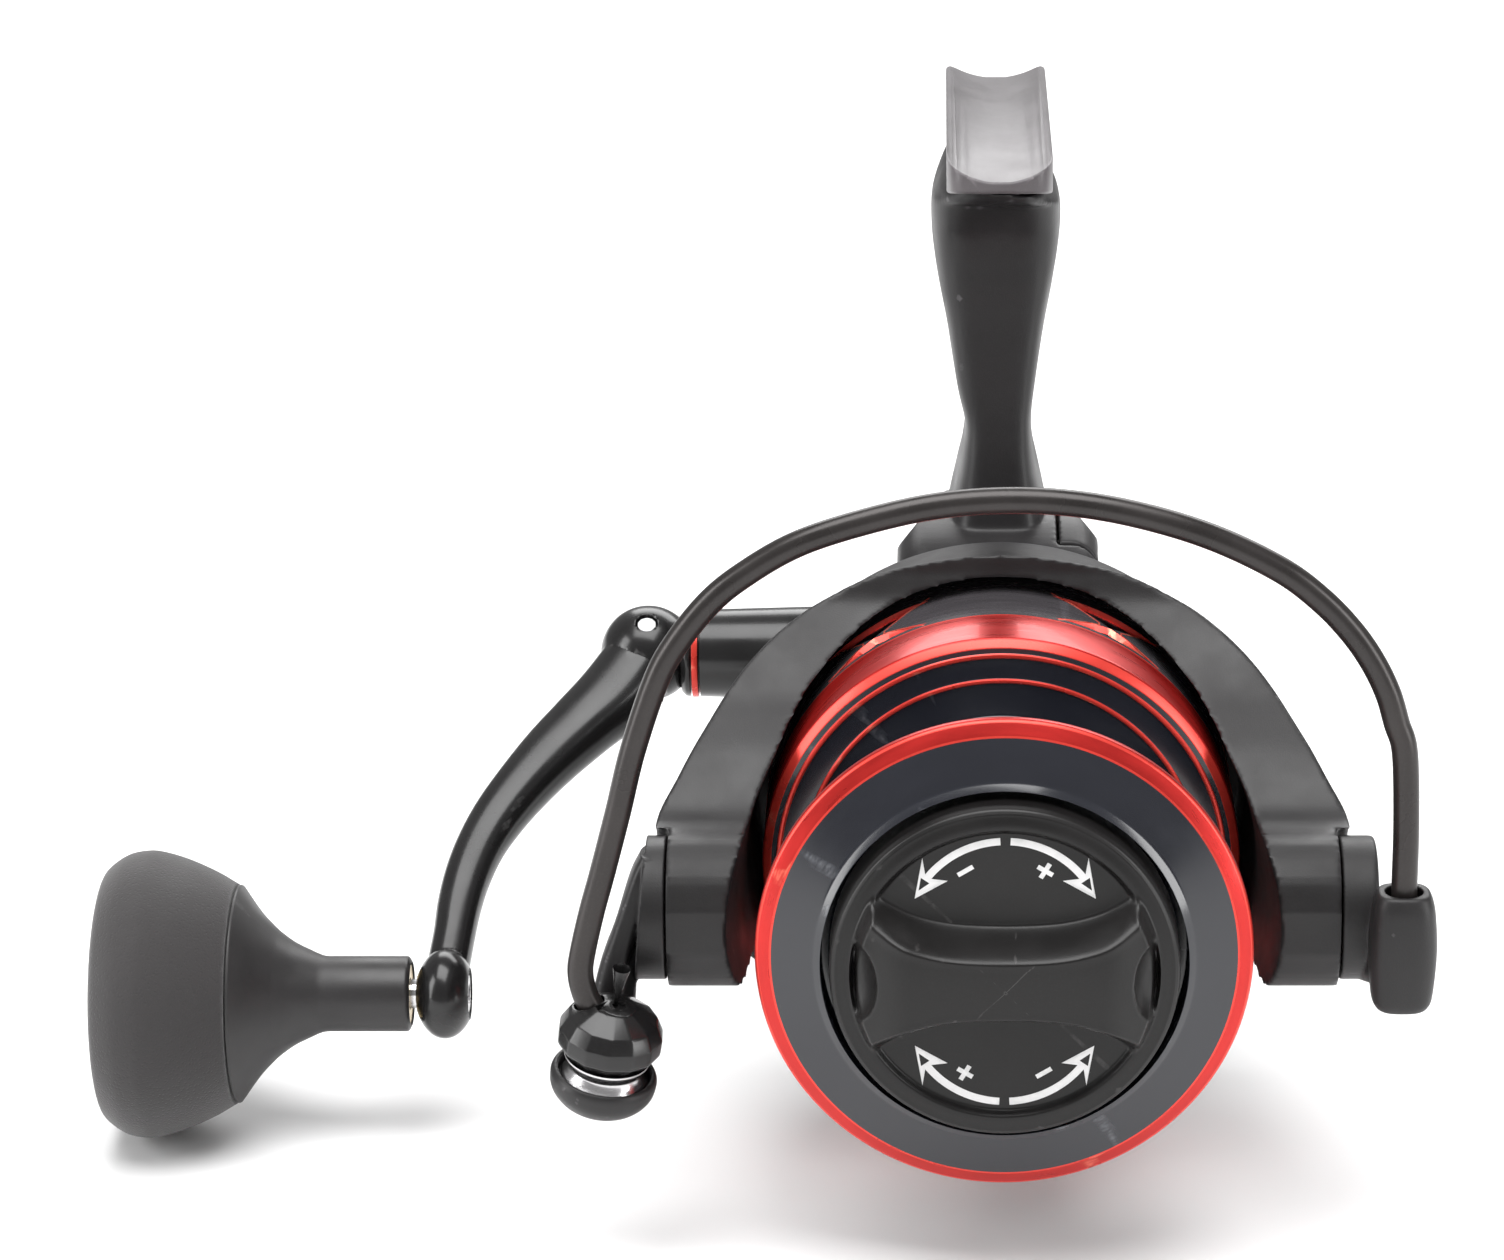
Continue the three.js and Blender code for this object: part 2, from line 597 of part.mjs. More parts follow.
const upperHalf = frontPrism(orient(half(1)), -1, ROTOR_REAR + 1);
const skin = upperHalf.getAttribute("position");
for (let i = 0; i < skin.count; i++) {
  const z = skin.getZ(i);
  if (z > 0) skin.setZ(i, z - SHOULDER_DROP * (skin.getY(i) - edgeY(z)));
}
const edges = orient([
  [ROTOR_REAR, BEYOND], [upperEdge[0][0], BEYOND],
  ...upperEdge,
  ...lowerEdge,
  [lowerEdge.at(-1)[0], -BEYOND], [ROTOR_REAR, -BEYOND],
]);
const armShell = common(
  upperHalf,
  frontPrism(orient(half(-1)), 0, ROTOR_REAR),
  sidePrism(edges, -60, 60),
  turned([
    [0, 0], [47, 0], [53.4, 20], [53.4, 46], [46.5, 53], [44.6, 56.5], [43.2, 58.5],
    [39.5, ROTOR_REAR], [0, ROTOR_REAR],
  ]),
).subtract(solid(turned([[0, -5], [41.5, -5], [ROTOR_BORE_R, 34], [ROTOR_BORE_R, 68.6], [30, 70], [0, 70]])));
const armCuts = [];
for (const side of [-1, 1]) {
  const from = side > 0 ? ARM_STEP_X : -60;
  armCuts.push(
    rodX(HUB_R + 0.9, from, from + 60 - ARM_STEP_X, MEDIUM).translate(0, PIVOT_Y, 0),
    box([from, from + 60 - ARM_STEP_X], [-5, 51], [-45, 2]),
    rodX(2, Math.min(side * 44, side * 60), Math.max(side * 44, side * 60)).translate(0, PIVOT_Y, 0),
  );
}
const springChamber = box([43, 50], [32.6, 42.4], [-7.6, -1.2]);
// The floor behind the spool's skirt, with the sleeve that sits on the pinion.
const cupFloor = turned([[5.2, 67], [11, 67], [12, 70], [39, 69.5], [39, 72], [34, 76], [5.2, 76]]);
const rotor = cut(
  armShell.add(solid(cupFloor)),
  ...armCuts,
  springChamber,
  rod(5.2, 60, 80, MEDIUM),
);
piece("rotor", rotor, satinBlack);
// Spring chamber in the right arm, behind the bail's pivot.
piece("bail_spring", swept(coil(2, 33.4, 41.6, 4), 0.4, 36, 2), steel).position.set(46.2, 0, -4.4);
piece("spring_cover", box([ARM_STEP_X + GAP, 50.6], [30.8, 45], [-8.6, 0]), satinBlack);
piece("rotor_nut", cut(solid(rod(8.6, 63.2, 66.7, 6)), rod(5.1, 60, 70, MEDIUM)), steel);

// ---- bail ----
const bailHolder = cut(
  join(
    rodX(HUB_R, HUB_X, HUB_OUT_X, MEDIUM).translate(0, PIVOT_Y, 0),
    box([52.2, 58.6], [BAIL_Y, PIVOT_Y - 5], [-8, 5]),
    turned([[0, -10], [3.6, -10], [4.6, -8.6], [5.1, -1], [4.5, 6], [3.7, 8], [0, 8]], 24)
      .rotateX(Math.PI / 2)
      .translate(57.8, BAIL_Y, 0),
  ),
  rod(2.9, -3.4, 12).rotateX(Math.PI / 2).translate(57.8, BAIL_Y, 0),
  rodX(2.8, 40, 60).translate(0, PIVOT_Y, 0),
  rodX(4.3, 53.2, 60).translate(0, PIVOT_Y, 0),
);
piece("bail_holder", bailHolder, satinBlack);
for (const [name, side] of [["bail_pivot_screw_left", -1], ["bail_pivot_screw_right", 1]]) {
  const screw = turnedX(
    [[0, 44.6], [1.7, 44.6], [1.7, 49.4], [2.5, 49.7], [2.5, 53.5], [4, 53.5], [4, 54.6], [0, 54.6]],
    SMALL,
  );
  if (side < 0) screw.rotateZ(Math.PI);
  piece(name, screw, steel).position.y = PIVOT_Y;
}

const WIRE = [
  [-59.4, -11.2], [-60.9, -8], [-61.5, -4.6], [-61, -1], [-59.6, 5], [-58, 10.8], [-55.6, 20],
  [-53.3, 29.4], [-49.9, 39.7], [-47.1, 45.2], [-42.4, 51.4], [-37.3, 55.8], [-29.5, 60.5],
  [-19.6, 63.9], [-9.5, 66.2], [0.6, 67], [10.5, 66.4],
  [20.4, 64.4], [30, 61.2], [39.1, 56.6], [44.9, 52.1], [49.2, 47.5], [52.3, 43], [54.6, 38.3],
  [56, 33.7], [57.3, 29.2], [57.8, 18.5], [57.8, 7.7], [57.8, -2.4],
].map(([x, z]) => [x, BAIL_Y, z]);
const WIRE_STEPS = 46;
piece("bail_wire", swept(WIRE, WIRE_R, WIRE_STEPS, 3), satinBlack);

// Line roller stack, built along its own axis: +Y points to the cap that the wire enters.
const rollerStack = placed(ROLLER_AT, ROLLER_AXIS);
rollerStack.updateMatrix();
const bowl = turned(
  [[0, -7.1], [3.4, -7.1], [6.2, -5.7], [7.75, -3.9], [7.75, -3], [6.6, -2.3], [0, -2.3]],
  MEDIUM,
).applyMatrix4(rollerStack.matrix);
// The left hub's outer face leans outward going down, toward the bowl under the line roller.
const hubFace = (z) => -56.5 + HUB_TILT * z;
const leftHub = common(
  rodX(HUB_R, -70, -HUB_X, 24).translate(0, PIVOT_Y, 0),
  frontPrism([[-HUB_X, 12], [hubFace(12), 12], [hubFace(-12), -12], [-HUB_X, -12]], 0, 40),
);
const bailArm = cut(
  leftHub.add(join(
    bowl,
    lofted(
      [
        { at: [-53, 17, 3], wide: 2.4, tall: 5 },
        { at: [-55.4, 16, -4], wide: 2.6, tall: 3.6 },
        { at: [-57.6, 15, -11], wide: 2.6, tall: 2.6 },
        { at: [-58.5, 14.7, -18], wide: 2.6, tall: 2.3 },
        { at: [-58.8, 14, -23.4], wide: 3, tall: 2.2 },
        { at: [-58.9, 11, -25.4], wide: 3.6, tall: 2.3 },
        { at: [-59.2, 7, -25.8], wide: 3, tall: 1.8 },
      ],
      X_AXIS,
      SMALL,
    ),
  )),
  rodX(2.8, -62, -40).translate(0, PIVOT_Y, 0),
  rodX(4.3, -62, -53.2).translate(0, PIVOT_Y, 0),
  rod(1.9, -6, 0).applyMatrix4(rollerStack.matrix),
);

const cap = cut(
  solid(
    turned([[0, 2.3], [6.2, 2.3], [7.75, 4], [7.75, 6.4], [6.6, 8.6], [3, 10.6], [0, 10.6]], 14)
      .applyMatrix4(rollerStack.matrix),
  ),
  rod(1.9, 0, 6).applyMatrix4(rollerStack.matrix),
  swept(WIRE, WIRE_R + GAP, WIRE_STEPS, 3),
);
piece("roller_cap", cap, glossBlack);
piece("roller_pin", rod(1.6, -5.6, 5.6), steel, rollerStack);
piece("roller_bearing", tube(1.9, 3.6, -1.9, 1.9, SMALL), brass, rollerStack);
piece(
  "line_roller",
  turned(
    [[3.9, -2], [6.3, -2], [6.3, -1.4], [5.3, -0.3], [5.3, 0.5], [6.3, 1.5], [6.3, 2], [3.9, 2]],
    MEDIUM,
  ),
  steel,
  rollerStack,
);
piece("bail_arm", bailArm, satinBlack);

// ---- handle ----
const handleAxis = new THREE.Group();
handleAxis.position.set(0, HANDLE_Y, HANDLE_Z);
reel.add(handleAxis);
const sleeve = cut(
  solid(
    turnedX(
      [
        [3.3, -51.5], [6.3, -51.5], [7.1, -50.7], [7.1, -50], [6.4, -50], [6.4, -48.4], [7.15, -48.4],
        [7.8, -24], [8.6, -21.6], [4.6, -21.6], [4.6, -23.8], [3.3, -24],
      ],
      20,
    ),
  ),
  ball(BALL_R + GAP, 24).translate(BALL_X, 0, 0),
);
piece("handle_sleeve", sleeve, glossBlack, handleAxis);
piece("sleeve_ring", tubeX(6.7, 7.3, -49.7, -48.7, 20), anodisedRed, handleAxis);

const crankGroup = new THREE.Group();
crankFrame.decompose(crankGroup.position, crankGroup.quaternion, crankGroup.scale);
handleAxis.add(crankGroup);
const CURVE = [
  [0, 0, 6.6, 6.2], [-5, 9, 6.2, 5.4], [-10.1, 15.6, 5.6, 4.9], [-14.8, 21.8, 5.1, 4.6],
  [-19, 28.2, 4.6, 4.3], [-22.5, 34.4, 4.25, 4], [-25.1, 40.4, 3.9, 3.7], [-26.8, 46.4, 3.7, 3.5],
  [-27.8, 52.4, 3.5, 3.3], [-28.3, 58.5, 3.3, 3.2], [-28.8, 64.3, 3.3, 3.2],
  [-29, CRANK_LENGTH - 1, 3.2, 3.2],
];
const crankArm = cut(
  join(
    ball(BALL_R, 20),
    lofted(CURVE.map(([x, y, wide, tall]) => ({ at: [x, y, 0], wide, tall })), X_AXIS, 12),
    ball(BOSS_R).scale(BOSS_SQUASH, 1, 1).translate(BOSS_X - BALL_X, CRANK_LENGTH, 0),
  ),
  box([-4.8, 12], [-12, 4.8], [-TONGUE - GAP, TONGUE + GAP]),
  rod(PIN_R + GAP, -9, 9).rotateX(Math.PI / 2),
  rodX(AXLE_R + GAP, -36, -20).translate(0, CRANK_LENGTH, 0),
  rodX(3.8, -84.2 - BALL_X, -20, MEDIUM).translate(0, CRANK_LENGTH, 0),
);
piece("crank_arm", crankArm, glossBlack, crankGroup);
piece("fold_pin", rod(PIN_R, -7, 7).rotateX(Math.PI / 2), steel, crankGroup);

// The grip's group keeps the reel's x, with its axis on the crank's lower boss.
const gripGroup = new THREE.Group();
gripGroup.position.set(-BALL_X, CRANK_LENGTH, 0);
crankGroup.add(gripGroup);
piece("grip_axle", rodX(AXLE_R, -135.4, -84.1, MEDIUM), steel, gripGroup);
const axleScrew = turnedX([[0, -83.8], [3.4, -83.8], [3.4, -82.8], [2.9, -82.3], [0, -82.3]], SMALL);
piece("grip_axle_screw", axleScrew, steel, gripGroup);
piece("grip_bush", tubeX(2.5, 4.6, -95.7, -91.4), brass, gripGroup);
const gripHub = turnedX(
  [
    [4.9, -91.1], [5.85, -91.8], [5.85, -104.8], [8, -109.4], [9.8, -111.8], [12.6, -114.6], [16.9, -117.6],
    [16.9, -118], [9, -118], [9, -133.4], [2.8, -133.4], [2.8, -96], [4.9, -96],
  ],
  24,
);
piece("grip_hub", gripHub, polymer, gripGroup);
const grip = turnedX([
  [17, -118.3], [19, -121.6], [20.9, -125.9], [22.2, -129.6], [22.35, -131.6], [21.4, -135.4],
  [18.6, -138.2], [15.5, -138.8], [7.2, -138.8], [7.2, -133.9], [9.3, -133.9], [9.3, -118.3],
]);
piece("grip", grip, foam, gripGroup);
piece("grip_cap", rodX(6.9, -138.6, -136, MEDIUM), glossBlack, gripGroup);

export default root;
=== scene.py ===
"""Looks of the spinning reel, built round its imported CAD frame.

Lengths in the tables are millimetres in the reel's own frame: x across, y backward along the spool's axis
from the widest ring of the spool's lip, z height above that axis. put() carries finished meshes to metres in
the part's frame.
"""

import json
import math

import bmesh
import bpy
import numpy as np
from mathutils import Matrix, Vector


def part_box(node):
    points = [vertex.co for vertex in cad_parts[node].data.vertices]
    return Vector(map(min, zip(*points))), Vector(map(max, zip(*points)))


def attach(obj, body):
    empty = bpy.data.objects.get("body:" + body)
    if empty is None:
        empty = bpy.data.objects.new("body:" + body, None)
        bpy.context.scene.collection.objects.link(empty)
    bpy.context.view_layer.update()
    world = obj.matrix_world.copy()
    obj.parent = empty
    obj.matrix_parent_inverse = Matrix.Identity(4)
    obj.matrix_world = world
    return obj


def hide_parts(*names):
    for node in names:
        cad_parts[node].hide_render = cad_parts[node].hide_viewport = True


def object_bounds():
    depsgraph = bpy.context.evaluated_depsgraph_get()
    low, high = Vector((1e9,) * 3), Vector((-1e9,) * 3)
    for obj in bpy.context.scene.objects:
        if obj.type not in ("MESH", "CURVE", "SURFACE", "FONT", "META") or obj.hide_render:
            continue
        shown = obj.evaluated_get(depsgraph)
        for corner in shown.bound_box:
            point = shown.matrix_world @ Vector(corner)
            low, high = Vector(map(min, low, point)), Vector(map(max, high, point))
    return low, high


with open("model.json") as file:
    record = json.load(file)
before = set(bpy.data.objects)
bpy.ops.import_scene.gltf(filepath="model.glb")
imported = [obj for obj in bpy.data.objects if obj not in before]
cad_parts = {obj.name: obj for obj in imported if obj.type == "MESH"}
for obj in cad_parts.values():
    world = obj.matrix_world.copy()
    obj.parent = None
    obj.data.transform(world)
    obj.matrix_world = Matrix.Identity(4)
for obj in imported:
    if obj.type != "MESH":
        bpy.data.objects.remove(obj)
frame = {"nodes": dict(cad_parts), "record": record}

CAD_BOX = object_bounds()
RECORD = frame["record"]
JOINTS = {joint["name"]: joint for joint in RECORD["behaviour"]["joints"]}
MM = 0.001
SPOOL_NOSE = -4.3  # front end of the spool, ahead of its lip
ORIGIN = Vector((0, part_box("spool")[0].y - SPOOL_NOSE * MM, JOINTS["rotor_spin"]["pos_m"][2]))


def reel_point(name):
    """A joint's position in the reel's frame."""
    return (Vector(JOINTS[name]["pos_m"]) - ORIGIN) / MM


# ---- outlines ----
def fillet(points, radius=0.4, steps=3):
    """Closed outline with its corners rounded; a point's third number is its own radius."""
    out = []
    for i, point in enumerate(points):
        corner = Vector(point[:2])
        size = point[2] if len(point) > 2 else radius
        back = Vector(points[i - 1][:2]) - corner
        ahead = Vector(points[(i + 1) % len(points)][:2]) - corner
        size = min(size, back.length * 0.45, ahead.length * 0.45)
        if size <= 1e-4:
            out.append(tuple(corner))
            continue
        start, end = corner + back.normalized() * size, corner + ahead.normalized() * size
        for k in range(steps + 1):
            t = k / steps
            out.append(tuple((1 - t) ** 2 * start + 2 * t * (1 - t) * corner + t * t * end))
    return out


def spline(rows, per=6, loop=False):
    """Catmull-Rom through rows of numbers."""
    rows = [np.array(row, float) for row in rows]
    count = len(rows)
    spans = count if loop else count - 1
    out = []
    for i in range(spans):
        if loop:
            a, b, c, d = (rows[(i + k) % count] for k in (-1, 0, 1, 2))
        else:
            b, c = rows[i], rows[i + 1]
            a = rows[i - 1] if i else 2 * b - c
            d = rows[i + 2] if i + 2 < count else 2 * c - b
        for k in range(per):
            t = k / per
            square, cube = 2 * a - 5 * b + 4 * c - d, 3 * b - a - 3 * c + d
            out.append(0.5 * (2 * b + (c - a) * t + square * t * t + cube * t**3))
    if not loop:
        out.append(rows[-1])
    return [tuple(row) for row in out]


# ---- shapes, in millimetres ----
def shape(verts, faces, materials=(), ids=None):
    mesh = bpy.data.meshes.new("shape")
    mesh.from_pydata([tuple(v) for v in verts], [], [list(f) for f in faces])
    for material in materials:
        mesh.materials.append(material)
    if ids is not None:
        mesh.polygons.foreach_set("material_index", ids)
    build = bmesh.new()
    build.from_mesh(mesh)
    bmesh.ops.recalc_face_normals(build, faces=build.faces)
    build.to_mesh(mesh)
    build.free()
    obj = bpy.data.objects.new("shape", mesh)
    bpy.context.scene.collection.objects.link(obj)
    return obj


def lathe(profile, sides=128, axis="y", at=None, materials=(), ids=None):
    """A closed (radius, along) profile turned round an axis, or round the Y axis of the matrix at."""
    verts, rings = [], []
    for radius, along in profile:
        if radius < 1e-5:
            rings.append([len(verts)] * sides)
            verts.append((0, along, 0))
            continue
        rings.append(range(len(verts), len(verts) + sides))
        for i in range(sides):
            turn = 2 * math.pi * i / sides
            verts.append((radius * math.cos(turn), along, radius * math.sin(turn)))
    faces, face_ids = [], []
    for k in range(len(profile)):
        a, b = rings[k], rings[(k + 1) % len(profile)]
        if a[0] == a[-1] and b[0] == b[-1]:
            continue
        for i in range(sides):
            j = (i + 1) % sides
            corners = list(dict.fromkeys((a[i], a[j], b[j], b[i])))
            faces.append(corners)
            face_ids.append(ids[k] if ids else 0)
    if axis == "x":
        verts = [(y, x, z) for x, y, z in verts]
    if at:
        verts = [at @ Vector(v) for v in verts]
    return shape(verts, faces, materials, face_ids if ids else None)


PLANES = {
    "xz": lambda a, b, t: (a, t, b),
    "yz": lambda a, b, t: (t, a, b),
    "xy": lambda a, b, t: (a, b, t),
}


def stack(levels, plane, materials=()):
    """Joins outlines of one point count, given as (level, points), and closes the first and last."""
    put_at = PLANES[plane]
    count = len(levels[0][1])
    verts = [put_at(a, b, level) for level, points in levels for a, b in points]
    faces = [range(count), range(len(verts) - count, len(verts))]
    for k in range(len(levels) - 1):
        for i in range(count):
            j = (i + 1) % count
            faces.append((k * count + i, k * count + j, (k + 1) * count + j, (k + 1) * count + i))
    return shape(verts, faces, materials)


def prism(outline, low, high, plane, materials=()):
    return stack([(low, outline), (high, outline)], plane, materials)


def inset(points, depth):
    """The outline moved inwards along its corners' normals."""
    pts = np.array(points, float)[:, :2]
    run = np.roll(pts, -1, 0) - np.roll(pts, 1, 0)
    normal = np.stack([-run[:, 1], run[:, 0]], 1) / np.linalg.norm(run, axis=1)[:, None]
    area = np.sum(pts[:, 0] * np.roll(pts[:, 1], -1) - np.roll(pts[:, 0], -1) * pts[:, 1])
    return [tuple(p) for p in pts + normal * depth * np.sign(area)]


def rounded_prism(outline, low, high, edge, plane, steps=6):
    levels = []
    for k in range(steps + 1):
        turn = math.pi / 2 * k / steps
        levels.append((edge * (1 - math.sin(turn)), edge * (1 - math.cos(turn))))
    rows = [(low + rise, inset(outline, depth)) for depth, rise in levels]
    rows += [(high - rise, inset(outline, depth)) for depth, rise in reversed(levels)]
    return stack(rows, plane)


def block(x, y, z):
    return prism([(x[0], y[0]), (x[1], y[0]), (x[1], y[1]), (x[0], y[1])], *z, "xy")


def rod(radius, low, high, axis="y", at=(0, 0, 0), sides=64):
    obj = lathe([(0, low), (radius, low), (radius, high), (0, high)], sides, axis)
    obj.data.transform(Matrix.Translation(at))
    return obj


def loft(stations, side=(1, 0, 0), sides=48, per=5):
    """Sections (x, y, z, wide, tall, power, near half's power) joined along a path; wide lies along side."""
    rows = np.array(spline(stations, per))
    side = Vector(side)
    verts = []
    for i, row in enumerate(rows):
        ahead, back = rows[min(i + 1, len(rows) - 1)], rows[max(i - 1, 0)]
        path = Vector(ahead[:3] - back[:3]).normalized()
        across = (side - path * side.dot(path)).normalized()
        up = path.cross(across)
        wide, tall = row[3], row[4]
        far = row[5] if len(row) > 5 else 2
        near = row[6] if len(row) > 6 else far
        for k in range(sides):
            turn = 2 * math.pi * k / sides
            c, s = math.cos(turn), math.sin(turn)
            power = near if s < 0 else far
            u = math.copysign(abs(c) ** (2 / power), c) * wide
            v = math.copysign(abs(s) ** (2 / power), s) * tall
            verts.append(Vector(row[:3]) + across * u + up * v)
    count = len(rows)
    faces = [range(sides), range((count - 1) * sides, count * sides)]
    for k in range(count - 1):
        for i in range(sides):
            j = (i + 1) % sides
            faces.append((k * sides + i, k * sides + j, (k + 1) * sides + j, (k + 1) * sides + i))
    return shape(verts, faces)


def ball(radius, at=(0, 0, 0), squash=1, sides=64):
    half = sides // 2
    turns = [math.pi * k / half for k in range(half + 1)]
    profile = [(max(radius * math.sin(t), 0), -radius * math.cos(t) * squash) for t in turns]
    obj = lathe(profile, sides, "x")
    obj.data.transform(Matrix.Translation(at))
    return obj


# ---- modifiers, applied at once ----
def bake(obj):
    graph = bpy.context.evaluated_depsgraph_get()
    mesh = bpy.data.meshes.new_from_object(obj.evaluated_get(graph))
    obj.modifiers.clear()
    obj.data = mesh
    return obj


def boolean(target, *tools, operation="DIFFERENCE"):
    for tool in tools:
        change = target.modifiers.new("boolean", "BOOLEAN")
        change.operation = operation
        change.solver = "EXACT"
        change.material_mode = "TRANSFER"
        change.object = tool
        bake(target)
        bpy.data.objects.remove(tool)
    return target


def union(target, *tools):
    return boolean(target, *tools, operation="UNION")


def common(target, *tools):
    return boolean(target, *tools, operation="INTERSECT")


def remesh(obj, voxel, rounds, keep=1.0):
    """Turns a joined shape into one even skin with soft cast edges."""
    change = obj.modifiers.new("remesh", "REMESH")
    change.mode = "VOXEL"
    change.voxel_size = voxel
    smooth = obj.modifiers.new("smooth", "SMOOTH")
    smooth.factor = 0.5
    smooth.iterations = rounds
    if keep < 1:
        less = obj.modifiers.new("less", "DECIMATE")
        less.ratio = keep
    return bake(obj)


def bevel(obj, width, segments=2, angle=35):
    change = obj.modifiers.new("bevel", "BEVEL")
    change.width = width
    change.segments = segments
    change.limit_method = "ANGLE"
    change.angle_limit = math.radians(angle)
    change.use_clamp_overlap = False
    return bake(obj)


def put(obj, name, body, nodes=(), material=None, sharp=32):
    obj.name = name
    obj.data.name = name
    obj.data.transform(Matrix.Translation(ORIGIN) @ Matrix.Scale(MM, 4))
    if material:
        obj.data.materials.clear()
        obj.data.materials.append(material)
        obj.data.polygons.foreach_set("material_index", [0] * len(obj.data.polygons))
    obj.data.polygons.foreach_set("use_smooth", [True] * len(obj.data.polygons))
    obj.data.set_sharp_from_angle(angle=math.radians(sharp))
    obj.data.update()
    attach(obj, body)
    if nodes:
        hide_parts(*nodes)
    return obj


# ---- materials ----
def surface(
    name, color, rough, metal=0.0, coat=0.0, spread=0.12, grain=2500, bump=0.05, wear=None, streak=None,
    sheen=0.0, specular=0.5, pores=None, weave=None,
):
    """A procedural finish: mottled colour, uneven roughness, fine grain and edges rubbed to "wear"."""
    material = bpy.data.materials.new(name)
    material.use_nodes = True
    nodes, links = material.node_tree.nodes, material.node_tree.links
    shader = nodes["Principled BSDF"]
    shader.inputs["Metallic"].default_value = metal
    shader.inputs["Coat Weight"].default_value = coat
    shader.inputs["Coat Roughness"].default_value = 0.08
    shader.inputs["Sheen Weight"].default_value = sheen
    shader.inputs["Sheen Roughness"].default_value = 0.5
    shader.inputs["Specular IOR Level"].default_value = specular
    place = nodes.new("ShaderNodeTexCoord")
    mapping = nodes.new("ShaderNodeMapping")
    mapping.inputs["Scale"].default_value = streak or (1, 1, 1)
    links.new(place.outputs["Object"], mapping.inputs["Vector"])

    def noise(scale, detail):
        node = nodes.new("ShaderNodeTexNoise")
        node.inputs["Scale"].default_value = scale
        node.inputs["Detail"].default_value = detail
        node.inputs["Roughness"].default_value = 0.55
        links.new(mapping.outputs[0], node.inputs["Vector"])
        return node.outputs["Fac"]

    def ranged(value, low, high, start=0.3, end=0.7):
        node = nodes.new("ShaderNodeMapRange")
        node.inputs["From Min"].default_value = start
        node.inputs["From Max"].default_value = end
        node.inputs["To Min"].default_value = low
        node.inputs["To Max"].default_value = high
        links.new(value, node.inputs["Value"])
        return node.outputs["Result"]

    def mixed(factor, a, b):
        node = nodes.new("ShaderNodeMix")
        node.data_type = "RGBA"
        links.new(factor, node.inputs["Factor"])
        for socket, value in ((node.inputs[6], a), (node.inputs[7], b)):
            if isinstance(value, tuple):
                socket.default_value = (*value, 1)
            else:
                links.new(value, socket)
        return node.outputs[2]

    broad = noise(90, 4)
    fine = noise(grain, 2)
    dark = tuple(c * (1 - spread) for c in color)
    light = tuple(min(1, c * (1 + spread)) for c in color)
    tone = mixed(ranged(broad, 0, 1), dark, light)
    speck = tuple(min(1, c * (1 + 1.5 * spread) + 0.004) for c in color)
    tone = mixed(ranged(fine, 0, 0.5, 0.5, 0.8), tone, speck)
    height = fine
    if weave:
        pattern = nodes.new("ShaderNodeTexChecker")
        pattern.inputs["Scale"].default_value = weave
        links.new(mapping.outputs[0], pattern.inputs["Vector"])
        tone = mixed(ranged(pattern.outputs["Fac"], 0, 0.5, 0, 1), tone, light)
    if pores:
        cells = nodes.new("ShaderNodeTexVoronoi")
        cells.inputs["Scale"].default_value = pores
        links.new(mapping.outputs[0], cells.inputs["Vector"])
        pit = ranged(cells.outputs["Distance"], 0, 1, 0.05, 0.45)
        # The pore pits are painted darker towards their centres: painted shade in the hollows.
        tone = mixed(ranged(cells.outputs["Distance"], 0.45, 0, 0.0, 0.3), tone, dark)
        add = nodes.new("ShaderNodeMath")
        add.operation = "ADD"
        links.new(pit, add.inputs[0])
        links.new(fine, add.inputs[1])
        height = add.outputs[0]
    uneven = ranged(broad, rough * 0.82, min(1, rough * 1.2))
    if wear:
        point = nodes.new("ShaderNodeNewGeometry").outputs["Pointiness"]
        edge = ranged(point, 0, 1, 0.53, 0.62)
        patch = ranged(noise(500, 3), 0.1, 0.75, 0.4, 0.65)
        both = nodes.new("ShaderNodeMath")
        both.operation = "MULTIPLY"
        links.new(edge, both.inputs[0])
        links.new(patch, both.inputs[1])
        tone = mixed(both.outputs[0], tone, wear)
    links.new(tone, shader.inputs["Base Color"])
    links.new(uneven, shader.inputs["Roughness"])
    raised = nodes.new("ShaderNodeBump")
    raised.inputs["Strength"].default_value = bump
    raised.inputs["Distance"].default_value = 0.0001
    links.new(height, raised.inputs["Height"])
    links.new(raised.outputs["Normal"], shader.inputs["Normal"])
    return material


M_BODY = surface(
    "body_paint", (0.015, 0.0138, 0.0145), 0.42, grain=4200, bump=0.22, wear=(0.1, 0.095, 0.1), specular=0.36,
)
M_ROTOR = surface(
    "rotor_paint", (0.0135, 0.0125, 0.013), 0.45, grain=4200, bump=0.22, wear=(0.09, 0.085, 0.09),
    specular=0.4,
)
# The foot wears the housing's black paint; its pale grey colour is a painted sheen, the light on its upturned
# top painted into the colour.
M_FOOT_PAINTED_SHEEN = surface(
    "foot_painted_sheen", (0.088, 0.079, 0.084), 0.36, grain=3600, bump=0.18, wear=(0.26, 0.24, 0.25), specular=0.42,
)
M_SPOOL = surface(
    "spool_anodised", (0.0125, 0.0135, 0.019), 0.18, coat=0.15, spread=0.08, grain=1800, bump=0.012,
    wear=(0.12, 0.125, 0.14), streak=(1, 9, 1), specular=0.62,
)
# The skirt is part of the same black anodised spool; its lighter grey colour is a painted reflection of the
# light falling on it.
M_SKIRT_PAINTED_REFLECTION = surface(
    "skirt_painted_reflection", (0.085, 0.078, 0.085), 0.26, metal=0.35, coat=0.2, spread=0.08, grain=1800, bump=0.012,
    wear=(0.16, 0.15, 0.17), streak=(1, 9, 1), specular=0.8,
)
M_RED = surface(
    "red_anodised", (0.5, 0.02, 0.017), 0.3, 0.7, coat=0.12, spread=0.1, grain=1800, bump=0.02,
    wear=(0.85, 0.2, 0.13), streak=(1, 9, 1),
)
M_REDLINE = surface(
    "red_bright", (0.72, 0.05, 0.036), 0.28, 0.5, spread=0.08, grain=2200, bump=0.02, wear=(0.95, 0.3, 0.2),
)
M_KNOB = surface(
    "knob_plastic", (0.0085, 0.0078, 0.0078), 0.34, grain=3800, bump=0.1, wear=(0.06, 0.057, 0.057),
    specular=0.32,
)
M_MARK = surface("mark_print", (0.82, 0.81, 0.81), 0.5, spread=0.05, grain=5200, bump=0.15,
    wear=(0.6, 0.6, 0.6))
